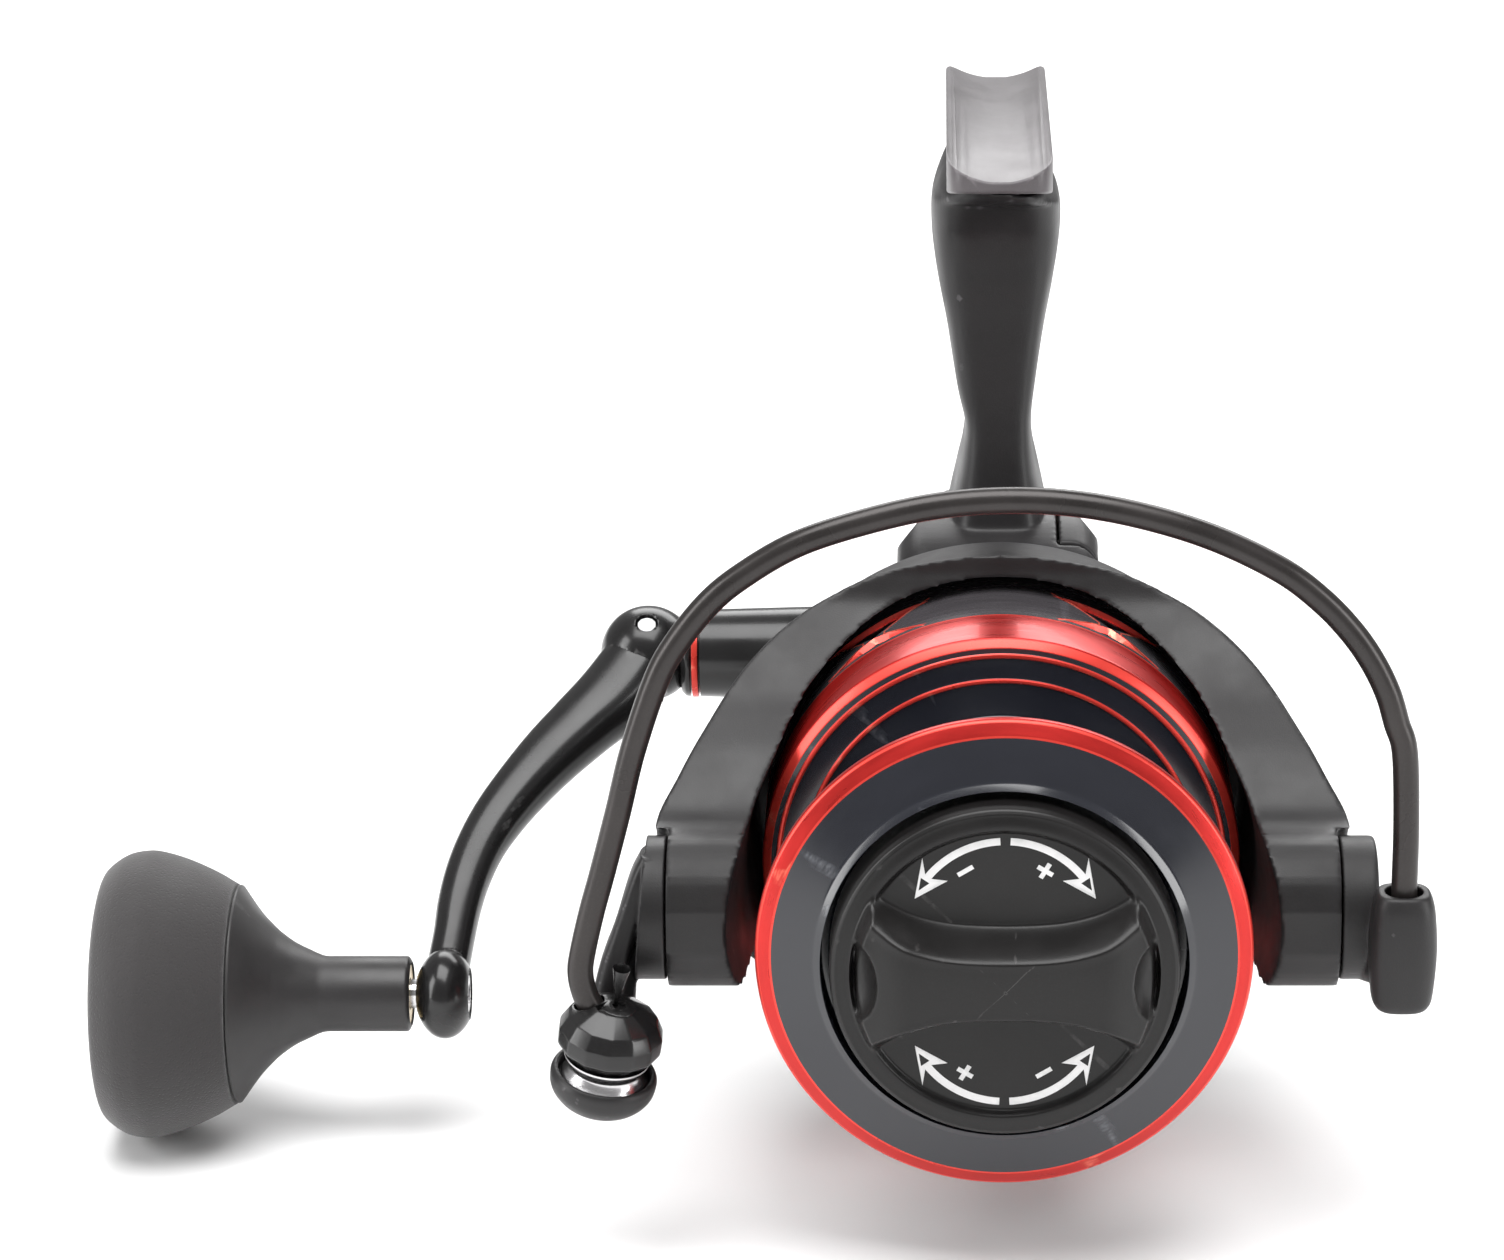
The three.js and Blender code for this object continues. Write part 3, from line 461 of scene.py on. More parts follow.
M_GLOSS = surface(
    "gloss_black", (0.009, 0.0086, 0.0088), 0.25, coat=0.12, spread=0.15, grain=1500, bump=0.012,
    wear=(0.08, 0.078, 0.078), specular=0.42,
)
M_WIRE = surface(
    "wire_anodised", (0.033, 0.029, 0.028), 0.3, 0.45, spread=0.18, grain=2600, bump=0.04,
    wear=(0.2, 0.18, 0.17),
)
M_STEEL = surface(
    "bright_steel", (0.66, 0.65, 0.66), 0.24, 1.0, spread=0.06, grain=1500, bump=0.03, wear=(0.8, 0.8, 0.8),
    streak=(1, 1, 12),
)
M_BRASS = surface("brass", (0.56, 0.4, 0.17), 0.3, 1.0, spread=0.1, grain=1800, bump=0.04,
    wear=(0.8, 0.66, 0.4))
M_CARBON = surface("carbon_weave", (0.03, 0.03, 0.032), 0.5, 0.0, grain=2500, bump=0.1, wear=(0.1, 0.1, 0.1),
    weave=900)
M_FOAM = surface(
    "grip_foam", (0.033, 0.0305, 0.031), 0.74, spread=0.16, grain=5200, bump=0.5, wear=(0.12, 0.115, 0.12),
    sheen=0.25, pores=1900, specular=0.35,
)
M_POLYMER = surface("grip_polymer", (0.021, 0.0195, 0.02), 0.46, grain=4200, bump=0.16, wear=(0.1, 0.1, 0.1))
SLOT_MATERIAL = {
    "body_black": M_BODY, "rotor_black": M_ROTOR, "spool_black": M_SPOOL, "red_anodised": M_RED,
    "knob_black": M_KNOB,
    "gloss_black": M_GLOSS, "wire_dark": M_WIRE, "bright_steel": M_STEEL, "brass": M_BRASS,
    "carbon": M_CARBON,
    "grip_foam": M_FOAM, "grip_polymer": M_POLYMER,
}

# ---- spool ----
LIP_R = 36
# Radius, along, corner radius, and material of the face that follows: 0 black, 1 red, 2 bright line, 3 skirt,
# whose lighter grey is a painted reflection on the same black anodise.
SPOOL_PROFILE = [
    (26.5, -4.3, 0.15, 0), (27.6, -3.3, 0.3, 0), (33.7, -1.5, 0.1, 2), (34.0, -1.35, 0.1, 1),
    (35.7, -0.35, 0.2, 2), (36, 0.1, 0.2, 1), (36, 1.1, 0.3, 1), (34.6, 2.5, 0.4, 0), (24.2, 8, 1.2, 0),
    (24, 34.4, 0.8, 0), (29.4, 34.74, 0.05, 2), (29.55, 34.45, 0.05, 2), (29.95, 34.48, 0.05, 2),
    (30.1, 34.8, 0.05, 0), (33.2, 35.0, 0.05, 2), (33.35, 34.72, 0.05, 2), (33.8, 34.75, 0.05, 2),
    (33.95, 35.05, 0.05, 0), (34.75, 35.15, 0.1, 2), (36, 36.3, 0.3, 1), (36, 46.9, 0.03, 2),
    (36, 47.35, 0.03, 3), (36, 65.6, 0.3, 0), (34.5, 66, 0.2, 0), (34.5, 38.6, 0.4, 0),
    (21.4, 38.6, 0.4, 0), (21.4, 22.5, 0.3, 0), (6.3, 22.5, 0.3, 0), (6.3, 31, 0.2, 0), (2.8, 31, 0.1, 0),
    (2.8, 19.5, 0.1, 0), (21.8, 19.5, 0.2, 0), (21.8, 2.2, 0.2, 0), (26.5, 2.2, 0.2, 0),
]


def graded_lathe(rows, sides, materials):
    """A lathe whose rows hold (radius, along, corner radius, material): each face keeps its own material."""
    outline, ids = [], []
    for i, row in enumerate(rows):
        arc = fillet([rows[i - 1][:2], row[:3], rows[(i + 1) % len(rows)][:2]], 0, 3)[1:-1]
        outline += arc
        ids += [row[3]] * len(arc)
    return lathe(outline, sides, materials=materials, ids=ids)


def subdivided(corners, like, step=0.8):
    """Each side of an outline split into as many steps as the matching side of another outline needs."""
    points = []
    for i, corner in enumerate(corners):
        k = (i + 1) % len(corners)
        a, b = np.array(corner, float), np.array(corners[k], float)
        count = max(2, int(math.dist(like[i], like[k]) / step))
        points += [tuple(a + (b - a) * t / count) for t in range(count)]
    return points


def grown(corners, depth):
    """Triangle or polygon with each side moved outwards."""
    pts = [Vector(c) for c in corners]
    area = sum(pts[i - 1].x * pts[i].y - pts[i].x * pts[i - 1].y for i in range(len(pts)))
    out = []
    for i, point in enumerate(pts):
        back, ahead = (point - pts[i - 1]).normalized(), (pts[(i + 1) % len(pts)] - point).normalized()
        turn = 1 if area > 0 else -1
        normal_a = Vector((back.y, -back.x)) * turn
        normal_b = Vector((ahead.y, -ahead.x)) * turn
        middle = (normal_a + normal_b).normalized()
        out.append(tuple(point + middle * depth / max(0.6, middle.dot(normal_a))))
    return out


def port_tool(corners, turn, low, high, flare, material):
    """Cutter for a skirt port: radial walls, or with a flare the chamfer round its mouth."""
    points = subdivided(corners, corners)
    wide = subdivided(grown(corners, flare), corners)
    verts, count = [], len(points)
    for radius, outline in ((low, points), (high, wide)):
        for arc, along in outline:
            angle = arc / LIP_R + turn
            verts.append((radius * math.sin(angle), along, radius * math.cos(angle)))
        middle = np.mean(np.array(outline), 0)
        angle = middle[0] / LIP_R + turn
        verts.append((radius * math.sin(angle), middle[1], radius * math.cos(angle)))
    faces = []
    for i in range(count):
        j = (i + 1) % count
        far_i, far_j = count + 1 + i, count + 1 + j
        faces += [(i, j, count), (far_i, far_j, 2 * count + 1), (i, j, far_j, far_i)]
    return shape(verts, faces, [material])


def merged(objs):
    """One object from separate closed shapes."""
    build = bmesh.new()
    for obj in objs:
        build.from_mesh(obj.data)
    mesh = bpy.data.meshes.new("merged")
    build.to_mesh(mesh)
    build.free()
    for material in objs[0].data.materials:
        mesh.materials.append(material)
    for obj in objs:
        bpy.data.objects.remove(obj)
    out = bpy.data.objects.new("merged", mesh)
    bpy.context.scene.collection.objects.link(out)
    return out


PORT_PAIRS = 6
PORT_TURNS = [math.radians(27.5 + 360 / PORT_PAIRS * k) for k in range(PORT_PAIRS)]
LINE_FRONT, LINE_REAR = ((1.9, 52.1), (8.6, 47.9)), ((1.9, 53.1), (9.4, 60.4))  # from the waist of the X out
PORTS = [[(-8.0, 48.6), (8.0, 48.6), (0, 51.9)], [(-8.2, 58.8), (0, 53.3), (8.2, 58.8)]]
spool = graded_lathe(SPOOL_PROFILE, 256, [M_SPOOL, M_RED, M_REDLINE, M_SKIRT_PAINTED_REFLECTION])
walls = merged([port_tool(c, turn, 33.5, 37.5, 0, M_SPOOL) for turn in PORT_TURNS for c in PORTS])
boolean(spool, walls)
for corners in PORTS:
    inner = grown(corners, -0.2)
    boolean(spool, merged([port_tool(inner, turn, 34.9, 36.4, 1.15, M_REDLINE) for turn in PORT_TURNS]))
put(spool, "spool_visual", "spool", ["spool"])


def ribbon(path, width, turn, radius=LIP_R + 0.02, thick=0.06):
    """A thin line inlaid on the skirt along (arc length, y) points."""
    verts, faces = [], []
    pts = [Vector(p) for p in path]
    for i, point in enumerate(pts):
        run = (pts[min(i + 1, len(pts) - 1)] - pts[max(i - 1, 0)]).normalized()
        off = Vector((-run.y, run.x)) * width / 2
        corners = (
            (point + off, radius), (point - off, radius), (point - off, radius - thick),
            (point + off, radius - thick),
        )
        for edge, level in corners:
            angle = edge.x / LIP_R + turn
            verts.append((level * math.sin(angle), edge.y, level * math.cos(angle)))
    for i in range(len(pts) - 1):
        for k in range(4):
            a, b = 4 * i + k, 4 * i + (k + 1) % 4
            faces.append((a, b, b + 4, a + 4))
    faces += [(0, 1, 2, 3), tuple(4 * (len(pts) - 1) + k for k in range(4))]
    return shape(verts, faces, [M_REDLINE])


panel_lines = []
for turn in PORT_TURNS:
    for side in (-1, 1):
        front, rear = (
            [(side * (a + (c - a) * k / 10), b + (d - b) * k / 10) for k in range(11)]
            for (a, b), (c, d) in (LINE_FRONT, LINE_REAR)
        )
        panel_lines.append(ribbon(front[::-1] + rear, 0.32, turn))
put(merged(panel_lines), "spool_lines", "spool", material=M_REDLINE)

# ---- drag knob ----
KNOB_R = 25.2
KNOB_FACE_R = 24.4
FLOOR, RIM, BAR_TOP = 6.9, 8.0, 14.7  # heights towards the front of the wells, the rim and the bar
BAR = spline(
    [
        (0, 4.7), (8, 5.1), (14, 6.6), (18.4, 8.9), (21.4, 11), (23, 5), (23, -5), (21.4, -11),
        (18.4, -8.9), (14, -6.6), (8, -5.1), (0, -4.7), (-8, -5.1), (-14, -6.6), (-18.4, -8.9),
        (-21.4, -11), (-23, -5), (-23, 5), (-21.4, 11), (-18.4, 8.9), (-14, 6.6), (-8, 5.1),
    ],
    6, loop=True,
)


def step(low, high, value):
    """Smooth rise from 0 at low to 1 at high."""
    t = np.clip((value - low) / (high - low), 0, 1)
    return t * t * (3 - 2 * t)


def depth_inside(x, z, outline):
    """Signed distance to a closed outline, positive inside."""
    pts = np.array(outline)
    nxt = np.roll(pts, -1, 0)
    px, pz = x[:, None], z[:, None]
    run = nxt - pts
    t = ((px - pts[:, 0]) * run[:, 0] + (pz - pts[:, 1]) * run[:, 1]) / (run**2).sum(1)
    t = np.clip(t, 0, 1)
    near = np.hypot(px - (pts[:, 0] + t * run[:, 0]), pz - (pts[:, 1] + t * run[:, 1])).min(1)
    crosses = (pts[:, 1] > pz) != (nxt[:, 1] > pz)
    at = pts[:, 0] + (pz - pts[:, 1]) * run[:, 0] / np.where(run[:, 1] == 0, 1e-9, run[:, 1])
    inside = (crosses & (px < at)).sum(1) % 2 == 1
    return np.where(inside, near, -near)


def knob_height(x, z):
    """How far the knob's face stands forward at (x, z)."""
    r = np.hypot(x, z)
    base = FLOOR + (RIM - FLOOR) * step(21.1, 22.1, r) - 0.35 * step(22.3, KNOB_FACE_R, r)
    inside = depth_inside(x, z, BAR)
    rise = step(-2.6, 0.7, inside)
    top = BAR_TOP - 3.4 * step(13.5, 22.5, np.abs(x)) - 0.25 * (z / 5) ** 2 * step(-1, 2, inside)
    fade = 1 - step(21.0, 22.6, r)
    height = base + (top - base) * rise * fade
    q = np.hypot((np.abs(x) - 21.9) / 3.7, z / 6.2)
    scoop = 3.6 * np.clip(1 - q**2, 0, 1) ** 0.7 * (1 - step(21.6, 22.4, r))
    return height - scoop


def knob_mesh(sides=416, step_mm=0.21):
    radii = list(np.arange(step_mm, KNOB_FACE_R, step_mm))
    turns = 2 * np.pi * np.arange(sides) / sides
    verts, faces = [(0, -float(knob_height(np.array([0.0]), np.array([0.0]))[0]), 0)], []
    for radius in radii:
        x, z = radius * np.cos(turns), radius * np.sin(turns)
        verts += [(float(a), -float(h), float(b)) for a, b, h in zip(x, z, knob_height(x, z))]
    back = fillet(
        [(KNOB_FACE_R, -7.62, 0), (24.9, -7.3, 0.4), (KNOB_R, -6.3, 0.5), (KNOB_R, 1.4, 0.3),
         (22.6, 1.4, 0.2), (22.6, -4.4, 0.3), (9.4, -4.4, 0.3), (9.4, 1.4, 0.2), (6.1, 1.4, 0.1),
         (6.1, -0.8, 0.1), (2.8, -0.8, 0.1), (2.8, -4.2, 0.1), (0.001, -4.2, 0)], 0.3, 3,
    )
    for radius, along in back:
        verts += [(radius * math.cos(t), along, radius * math.sin(t)) for t in turns]
    rings = len(radii) + len(back)
    for i in range(sides):
        j = (i + 1) % sides
        faces.append((0, 1 + i, 1 + j))
        for k in range(rings - 1):
            a, b = 1 + k * sides, 1 + (k + 1) * sides
            faces.append((a + i, a + j, b + j, b + i))
    faces.append([1 + (rings - 1) * sides + i for i in range(sides)])
    return shape(verts, faces)


put(knob_mesh(), "knob_visual", "knob", ["drag_knob"], M_KNOB, sharp=50)

# Turning arrows with plain minus and plus signs.
ARC_R, ARC_Z = 13.9, 6.1


def arc_point(radius, degrees):
    """Point of the turning arrows' ring, measured from straight above its centre."""
    turn = math.radians(degrees)
    return -radius * math.sin(turn), ARC_Z + radius * math.cos(turn)


def mark(points, flip_x, flip_z):
    """A print on the floor of one well, mirrored from the first quarter."""
    outline = [(flip_x * x, flip_z * z) for x, z in points]
    return prism(outline, -FLOOR - 0.05, -FLOOR + 0.08, "xz")


bow = [arc_point(ARC_R + 0.55, a) for a in np.linspace(3, 52, 20)]
bow += [arc_point(ARC_R + 2.5, 46), arc_point(ARC_R, 68), arc_point(ARC_R - 2.5, 46)]
bow += [arc_point(ARC_R - 0.55, a) for a in np.linspace(52, 3, 20)]
eye = [arc_point(ARC_R + 0.75, 55), arc_point(ARC_R, 62.5), arc_point(ARC_R - 0.75, 55)]


def sign_outline(wide, tall, degrees, radius):
    centre = arc_point(radius, degrees)
    turn = math.radians(degrees)
    ax, ay = Vector((math.cos(turn), math.sin(turn))), Vector((-math.sin(turn), math.cos(turn)))
    signs = ((-1, -1), (1, -1), (1, 1), (-1, 1))
    return [tuple(Vector(centre) + ax * sx * wide + ay * sy * tall) for sx, sy in signs]


marks = []
for flip_x, flip_z in ((1, 1), (-1, 1), (1, -1), (-1, -1)):
    arrow = mark(bow, flip_x, flip_z)
    hole = prism([(flip_x * x, flip_z * z) for x, z in eye], -FLOOR - 1, -FLOOR + 1, "xz")
    marks.append(boolean(arrow, hole))
    less = mark(sign_outline(1.25, 0.34, 31, ARC_R - 2.9), flip_x, flip_z)
    if flip_x * flip_z < 0:
        union(less, mark(sign_outline(0.34, 1.25, 31, ARC_R - 2.9), flip_x, flip_z))
    marks.append(less)
put(merged(marks), "knob_marks", "knob", material=M_MARK)

# ---- rotor ----
SHOULDER = [
    (16.7, 39.6), (27, 35.4), (33.4, 31.8), (37.8, 28.4), (41.1, 25), (43.7, 22), (46.3, 18.9), (48.6, 15.5),
    (50.9, 12.2), (51.7, 10),
]
UPPER_EDGE = [
    (58, 39.2), (56, 35), (52, 31.4), (48, 28), (44, 24.6), (39, 21.6), (34, 18.6), (30, 15.3), (26, 12.4),
    (22, 11.2), (15.6, 11), (10.4, 8), (8, 3.4),
]
LOWER_EDGE = [(8, -3.4), (10.4, -8), (15.6, -11), (30, -11.3), (45, -12.5), (52, -17), (56, -24), (58, -30)]
SHOULDER_DROP = 0.36  # of the shoulders, per millimetre behind the front edge
RIM_TOP = 42
RIM_Y = 58  # front of the rim
ROTOR_REAR = 76
BORE_R = 38.4
ARM_X = 51.7  # outer face of the arms
HUB_SEAT = 49.2  # their inner seat for the bail's hubs
BEYOND = 70  # past the rotor on every side
shoulder = [p for p in spline([(-16.7, 39.6), (0, RIM_TOP), *SHOULDER], 5)[5:] if p[0] > 0.5]
upper_edge, lower_edge = spline(UPPER_EDGE, 4), spline(LOWER_EDGE, 4)


def half_front(sign):
    """Front outline that follows the rotor's upper (1) or lower (-1) half and leaves the other half whole."""
    rows = [(-ARM_X, -sign * BEYOND), (ARM_X, -sign * BEYOND)]
    rows += [(x, sign * z) for x, z in reversed(shoulder)] + [(0, sign * RIM_TOP)]
    return rows + [(-x, sign * z) for x, z in shoulder]


def upper_half():
    """The rotor's upper outline run backward, each point falling behind its own place on the front edge."""
    heights, places = [z for _, z in reversed(upper_edge)], [y for y, _ in reversed(upper_edge)]
    levels = []
    for y in (-1, ROTOR_REAR + 1):
        rows = []
        for x, z in half_front(1):
            edge = float(np.interp(z, heights, places))
            rows.append((x, z - SHOULDER_DROP * (y - edge) if z > 0 else z))
        levels.append((y, rows))
    return stack(levels, "xz")


saddle = [(ROTOR_REAR, BEYOND), (RIM_Y, BEYOND)] + upper_edge
saddle += lower_edge + [(RIM_Y, -BEYOND), (ROTOR_REAR, -BEYOND)]
PIVOT = reel_point("bail_flip")
HUB_R = 10.6
ENVELOPE = [
    (0, 0), (47, 0), (53.4, 20), (53.4, 46), (46.5, 53), (44.6, 56.5), (43.2, 58.5), (39.5, ROTOR_REAR),
    (0, ROTOR_REAR),
]
CUP = [
    (5.2, 67), (11, 67), (12, 69.6), (BORE_R, 68.6), (BORE_R, RIM_Y), (41.4, RIM_Y), (40, 71),
    (37.6, ROTOR_REAR), (5.2, ROTOR_REAR),
]
rotor = common(
    upper_half(),
    prism(half_front(-1), 0, ROTOR_REAR, "xz"),
    prism(saddle, -60, 60, "yz"),
    lathe(ENVELOPE, 192),
)
boolean(rotor, lathe([(0, -5), (41.5, -5), (BORE_R, 34), (BORE_R, 80), (0, 80)], 192))
union(rotor, lathe(CUP, 192))
for side in (-1, 1):
    near, far = sorted((side * HUB_SEAT, side * 62))
    boolean(
        rotor,
        rod(HUB_R + 0.9, near, far, "x", PIVOT, 96),
        block((near, far), (-5, 51), (-45, 2)),
        rod(2, *sorted((side * 44, side * 60)), "x", PIVOT),
    )
boolean(rotor, block((43, 50), (32.6, 42.4), (-7.6, -1.2)))
remesh(rotor, 0.4, 5, 0.6)
put(rotor, "rotor_visual", "rotor", ["rotor"], M_ROTOR, sharp=60)
cover = prism(fillet([(30.8, -8.6), (45, -8.6), (45, 0), (30.8, 0)], 1.4), 49.5, 50.6, "yz")
bevel(cover, 0.25, 3)
put(cover, "spring_cover_visual", "rotor", ["spring_cover"], M_ROTOR)

# ---- body, side plate and stem ----
BODY_LINE = spline(
    [
        (77.2, -14), (77.2, 8), (78.5, 27), (83, 33), (91, 36), (101, 36.9), (112, 35.6), (122, 32.6),
        (131, 27.2), (138.5, 18), (142.8, 8), (144, -1), (140, -14), (130, -23), (108, -25), (90, -23.5),
    ],
    6, loop=True,
)
CAVITY = [
    (86.8, -7), (86.8, 22), (94, 32.5), (102, 34.4), (112, 34), (122, 31.3), (129.5, 26.5), (136.5, 17.5),
    (139.6, 8), (139.6, 0), (136.4, -13), (128, -19.8), (96, -20.5), (90, -16),
]
HANDLE = reel_point("handle_turn")
HANDLE_AT = Matrix.Translation((0, HANDLE.y, HANDLE.z))
HANDLE_LINE = (0, HANDLE.y, HANDLE.z)
BODY_HALF, BODY_ROUND = 16, 4.5
HOUSING_END, PLATE_START = 9.3, 9.65  # the joint between the housing and its side plate
GEAR_SLOT = (2.8, 9.6)  # where the gear chamber is tall
LOW_CHAMBER, LOW_CHAMBER_TOP = (-11.5, 13), 31.9
FRONT, BEHIND = 70, 160  # past the body at both ends
# The stem's sections, from its root up: x, y, z, half width, half depth, power, front half's power.
STEM = [
    (0, 107, 24, 9.4, 19, 2.3, 4.4), (0, 105.5, 34, 8.2, 16.5, 2.3, 4.6),
    (0, 104, 42.2, 6.65, 13.5, 2.3, 4.8), (0, 103.2, 47.2, 5.65, 12, 2.3, 5),
    (0, 103, 52.1, 5.3, 11.3, 2.3, 5.2), (-0.3, 103.2, 57.1, 6.15, 11.2, 2.3, 5.2),
    (-0.4, 103.8, 62, 6.95, 11.6, 2.3, 5.2), (-0.4, 104.8, 66.9, 7.8, 12.4, 2.3, 5.2),
    (-0.4, 106, 71.7, 8.8, 13.8, 2.3, 5), (-0.4, 107.4, 76.6, 9.65, 15.4, 2.3, 4.8),
    (-0.4, 108.6, 81.4, 10.15, 17.6, 2.3, 4.7), (-0.4, 109.4, 86.3, 10.1, 20.6, 2.3, 4.7),
    (-0.3, 109.6, 89.4, 9.1, 23.2, 2.3, 4.7), (0, 109.6, 92, 7.6, 25, 2.3, 4.7),
]
FOOT_SIDE = fillet(
    [(78.2, 93.4, 1), (79, 98, 1.2), (154.4, 98, 1.4), (155, 93.8, 1), (138, 90.2, 6), (92, 90.2, 8)]
)
FOOT_PLAN = fillet(
    [(-8.2, 85, 2), (-7.2, 80.2, 3), (0, 78.3, 6), (7.2, 80.2, 3), (8.2, 85, 2), (8.2, 151, 2),
     (7.4, 154.4, 1.5), (-7.4, 154.4, 1.5), (-8.2, 151, 2)], 1, 6,
)
SEAT_Z = 95
SADDLE_R = 14
SADDLE_FLAT = 1.57  # half width of the flat strip along the bottom of the hollow
SCREWS = [(91.2, 28.8), (137.2, -7.5), (91.4, -14.8)]
# Shoulder chamfers: they begin at SHOULDER_Z at SHOULDER_Y and fall with x and with y.
SHOULDER_Y, SHOULDER_Z = 98, 36.5
SHOULDER_SLOPE = 1.31
SHOULDER_FALL = 0.33


def fallen(obj):
    """Shears a shape down toward the rear, about SHOULDER_Y."""
    for vert in obj.data.vertices:
        vert.co.z -= SHOULDER_FALL * (vert.co.y - SHOULDER_Y)
    return obj


def shoulder_cut(x):
    """Cutter for the chamfer along one shoulder of the body, beginning at x."""
    side = math.copysign(1, x)
    rows = [
        (x - side * 3, SHOULDER_Z + 3 * SHOULDER_SLOPE), (x + side * 9, SHOULDER_Z - 9 * SHOULDER_SLOPE),
        (side * 30, SHOULDER_Z - 9 * SHOULDER_SLOPE), (side * 30, 70), (x - side * 3, 70),
    ]
    return fallen(prism(rows, FRONT, BEHIND, "xz"))


def body_block():
    whole = rounded_prism(BODY_LINE, -BODY_HALF, BODY_HALF, BODY_ROUND, "yz")
    union(whole, lathe([(0, 77.2), (20.4, 77.2), (21, 77.6), (23, 80), (23, 92), (0, 92)], 160))
    below = fallen(block((-20, 20), (FRONT, BEHIND), (-80, LOW_CHAMBER_TOP)))
    low_cavity = common(prism(CAVITY, *LOW_CHAMBER, "yz"), below)
    return boolean(
        whole, low_cavity, prism(CAVITY, *GEAR_SLOT, "yz"), shoulder_cut(-11.4), shoulder_cut(12.4),
    )


def foot_block():
    foot = common(prism(FOOT_PLAN, 85, 99, "xy"), prism(FOOT_SIDE, -9, 9, "yz"))
    arc = [(-SADDLE_FLAT, SEAT_Z), (SADDLE_FLAT, SEAT_Z)]
    start = math.asin(SADDLE_FLAT / SADDLE_R)
    rise = SEAT_Z + SADDLE_R * math.cos(start)
    for k in range(1, 24):
        turn = start + (math.pi / 2 - start) * k / 23
        arc.append((SADDLE_R * math.sin(turn), rise - SADDLE_R * math.cos(turn)))
    arc += [(-x, z) for x, z in reversed(arc[2:])]
    return boolean(foot, prism(arc, FRONT, BEHIND, "xz"))


BEARING_BORES = [(13.4, 70, 83.4), (8.8, 83, 88)]  # radius, from y, to y
housing = boolean(body_block(), block((HOUSING_END, 30), (86.7, BEHIND), (-40, 60)))
handle_boss = lathe([(5, -21), (9.4, -21), (9.4, -11.3), (5, -11.3)], 96, "x", HANDLE_AT)
union(housing, loft(STEM, sides=72), handle_boss)
boolean(
    housing,
    *[rod(*bore) for bore in BEARING_BORES],
    block((2.2, 7.8), (70, 80.3), (25.6, 40)),
    rod(7.8, -17.2, -13.4, "x", HANDLE_LINE),
    rod(4.7, -22, -5, "x", HANDLE_LINE),
    prism(CAVITY, *GEAR_SLOT, "yz"),
)
remesh(housing, 0.4, 4, 0.5)
put(housing, "housing_visual", "body", ["housing"], M_BODY, sharp=60)
# The foot's pale grey is a painted sheen over the housing's black paint.
foot = bevel(foot_block(), 0.45, 3, 30)
put(foot, "foot_visual", "body", ["housing"], M_FOOT_PAINTED_SHEEN, sharp=40)

plate = common(body_block(), block((PLATE_START, 30), (87, BEHIND), (-40, 60)))
union(plate, lathe([(7.8, 10), (9.6, 10), (9.6, 14), (7.8, 14)], 96, "x", HANDLE_AT))
boolean(
    plate,
    rod(7.8, 11, 14.2, "x", HANDLE_LINE),
    rod(6.2, 12, 20, "x", HANDLE_LINE),
    *[rod(*bore) for bore in BEARING_BORES],
    *[rod(3.2, 14.4, 20, "x", (0, y, z)) for y, z in SCREWS],
    *[rod(1.8, 5, 20, "x", (0, y, z)) for y, z in SCREWS],
)
remesh(plate, 0.35, 4, 0.5)
put(plate, "side_plate_visual", "body", ["side_plate"], M_BODY, sharp=60)

ramp = prism(fillet([(2.5, 27), (7.5, 27), (7.5, 32.6), (6, 34.2), (2.5, 34.2)], 0.4), 76.8, 80, "xz")
bevel(ramp, 0.2, 3)
put(ramp, "trip_ramp_visual", "body", ["trip_ramp"], M_STEEL)


def screw(profile, at, slot):
    """A screw head along x with its driver slot cut."""
    head = lathe(fillet(profile, 0.25), 64, "x", Matrix.Translation(at))
    return boolean(head, slot)


PLATE_SCREW = [(0, 2), (1.1, 2), (1.1, 14.8), (2.8, 14.8), (2.8, 15.6), (2.2, 16), (0, 16)]
for i, (y, z) in enumerate(SCREWS):
    tool = block((15.3, 17), (y - 1.7, y + 1.7), (z - 0.35, z + 0.35))
    union(tool, block((15.3, 17), (y - 0.35, y + 0.35), (z - 1.7, z + 1.7)))
    head = screw(PLATE_SCREW, (0, y, z), tool)
    put(head, f"plate_screw_{i + 1}_visual", "body", [f"plate_screw_{i + 1}"], M_STEEL)
cap_slot = block((19.8, 21), (HANDLE.y - 6.4, HANDLE.y + 6.4), (HANDLE.z - 0.8, HANDLE.z + 0.8))
cap = screw(
    [(0, 9.8), (2, 9.8), (2, 15), (5.8, 15), (5.8, 16.6), (8.6, 16.6, 0.5), (8.6, 19, 0.8), (7, 20.4, 0.8),
    (0, 20.4)],
    HANDLE_LINE, cap_slot,
)
put(cap, "side_cap_visual", "body", ["side_cap"], M_GLOSS)

# ---- bail ----
WIRE_R = 1.9
BAIL_Y = 4.6
WIRE = [
    (-59.4, -11.2), (-60.9, -8), (-61.5, -4.6), (-61, -1), (-59.6, 5), (-58, 10.8), (-55.6, 20),
    (-53.3, 29.4), (-49.9, 39.7), (-47.1, 45.2), (-42.4, 51.4), (-37.3, 55.8), (-29.5, 60.5),
    (-19.6, 63.9), (-9.5, 66.2), (0.6, 67), (10.5, 66.4), (20.4, 64.4), (30, 61.2), (39.1, 56.6),
    (44.9, 52.1), (49.2, 47.5), (52.3, 43), (54.6, 38.3), (56, 33.7), (57.3, 29.2), (57.8, 18.5),
    (57.8, 7.7), (57.8, -2.4),
]
wire = loft([(x, BAIL_Y, z, WIRE_R, WIRE_R) for x, z in WIRE], (0, 1, 0), 32, 8)
put(wire, "bail_wire_visual", "bail", ["bail_wire"], M_WIRE, sharp=50)

ROLLER = reel_point("line_roller_spin")
ROLLER_AXIS = Vector(JOINTS["line_roller_spin"]["axis"]).normalized()
ROLLER_TURN = Vector((0, 1, 0)).rotation_difference(ROLLER_AXIS)
ROLLER_AT = Matrix.Translation(ROLLER) @ ROLLER_TURN.to_matrix().to_4x4()
HUB_IN, HUB_OUT = 49.5, 54.8  # faces of the bail's hubs

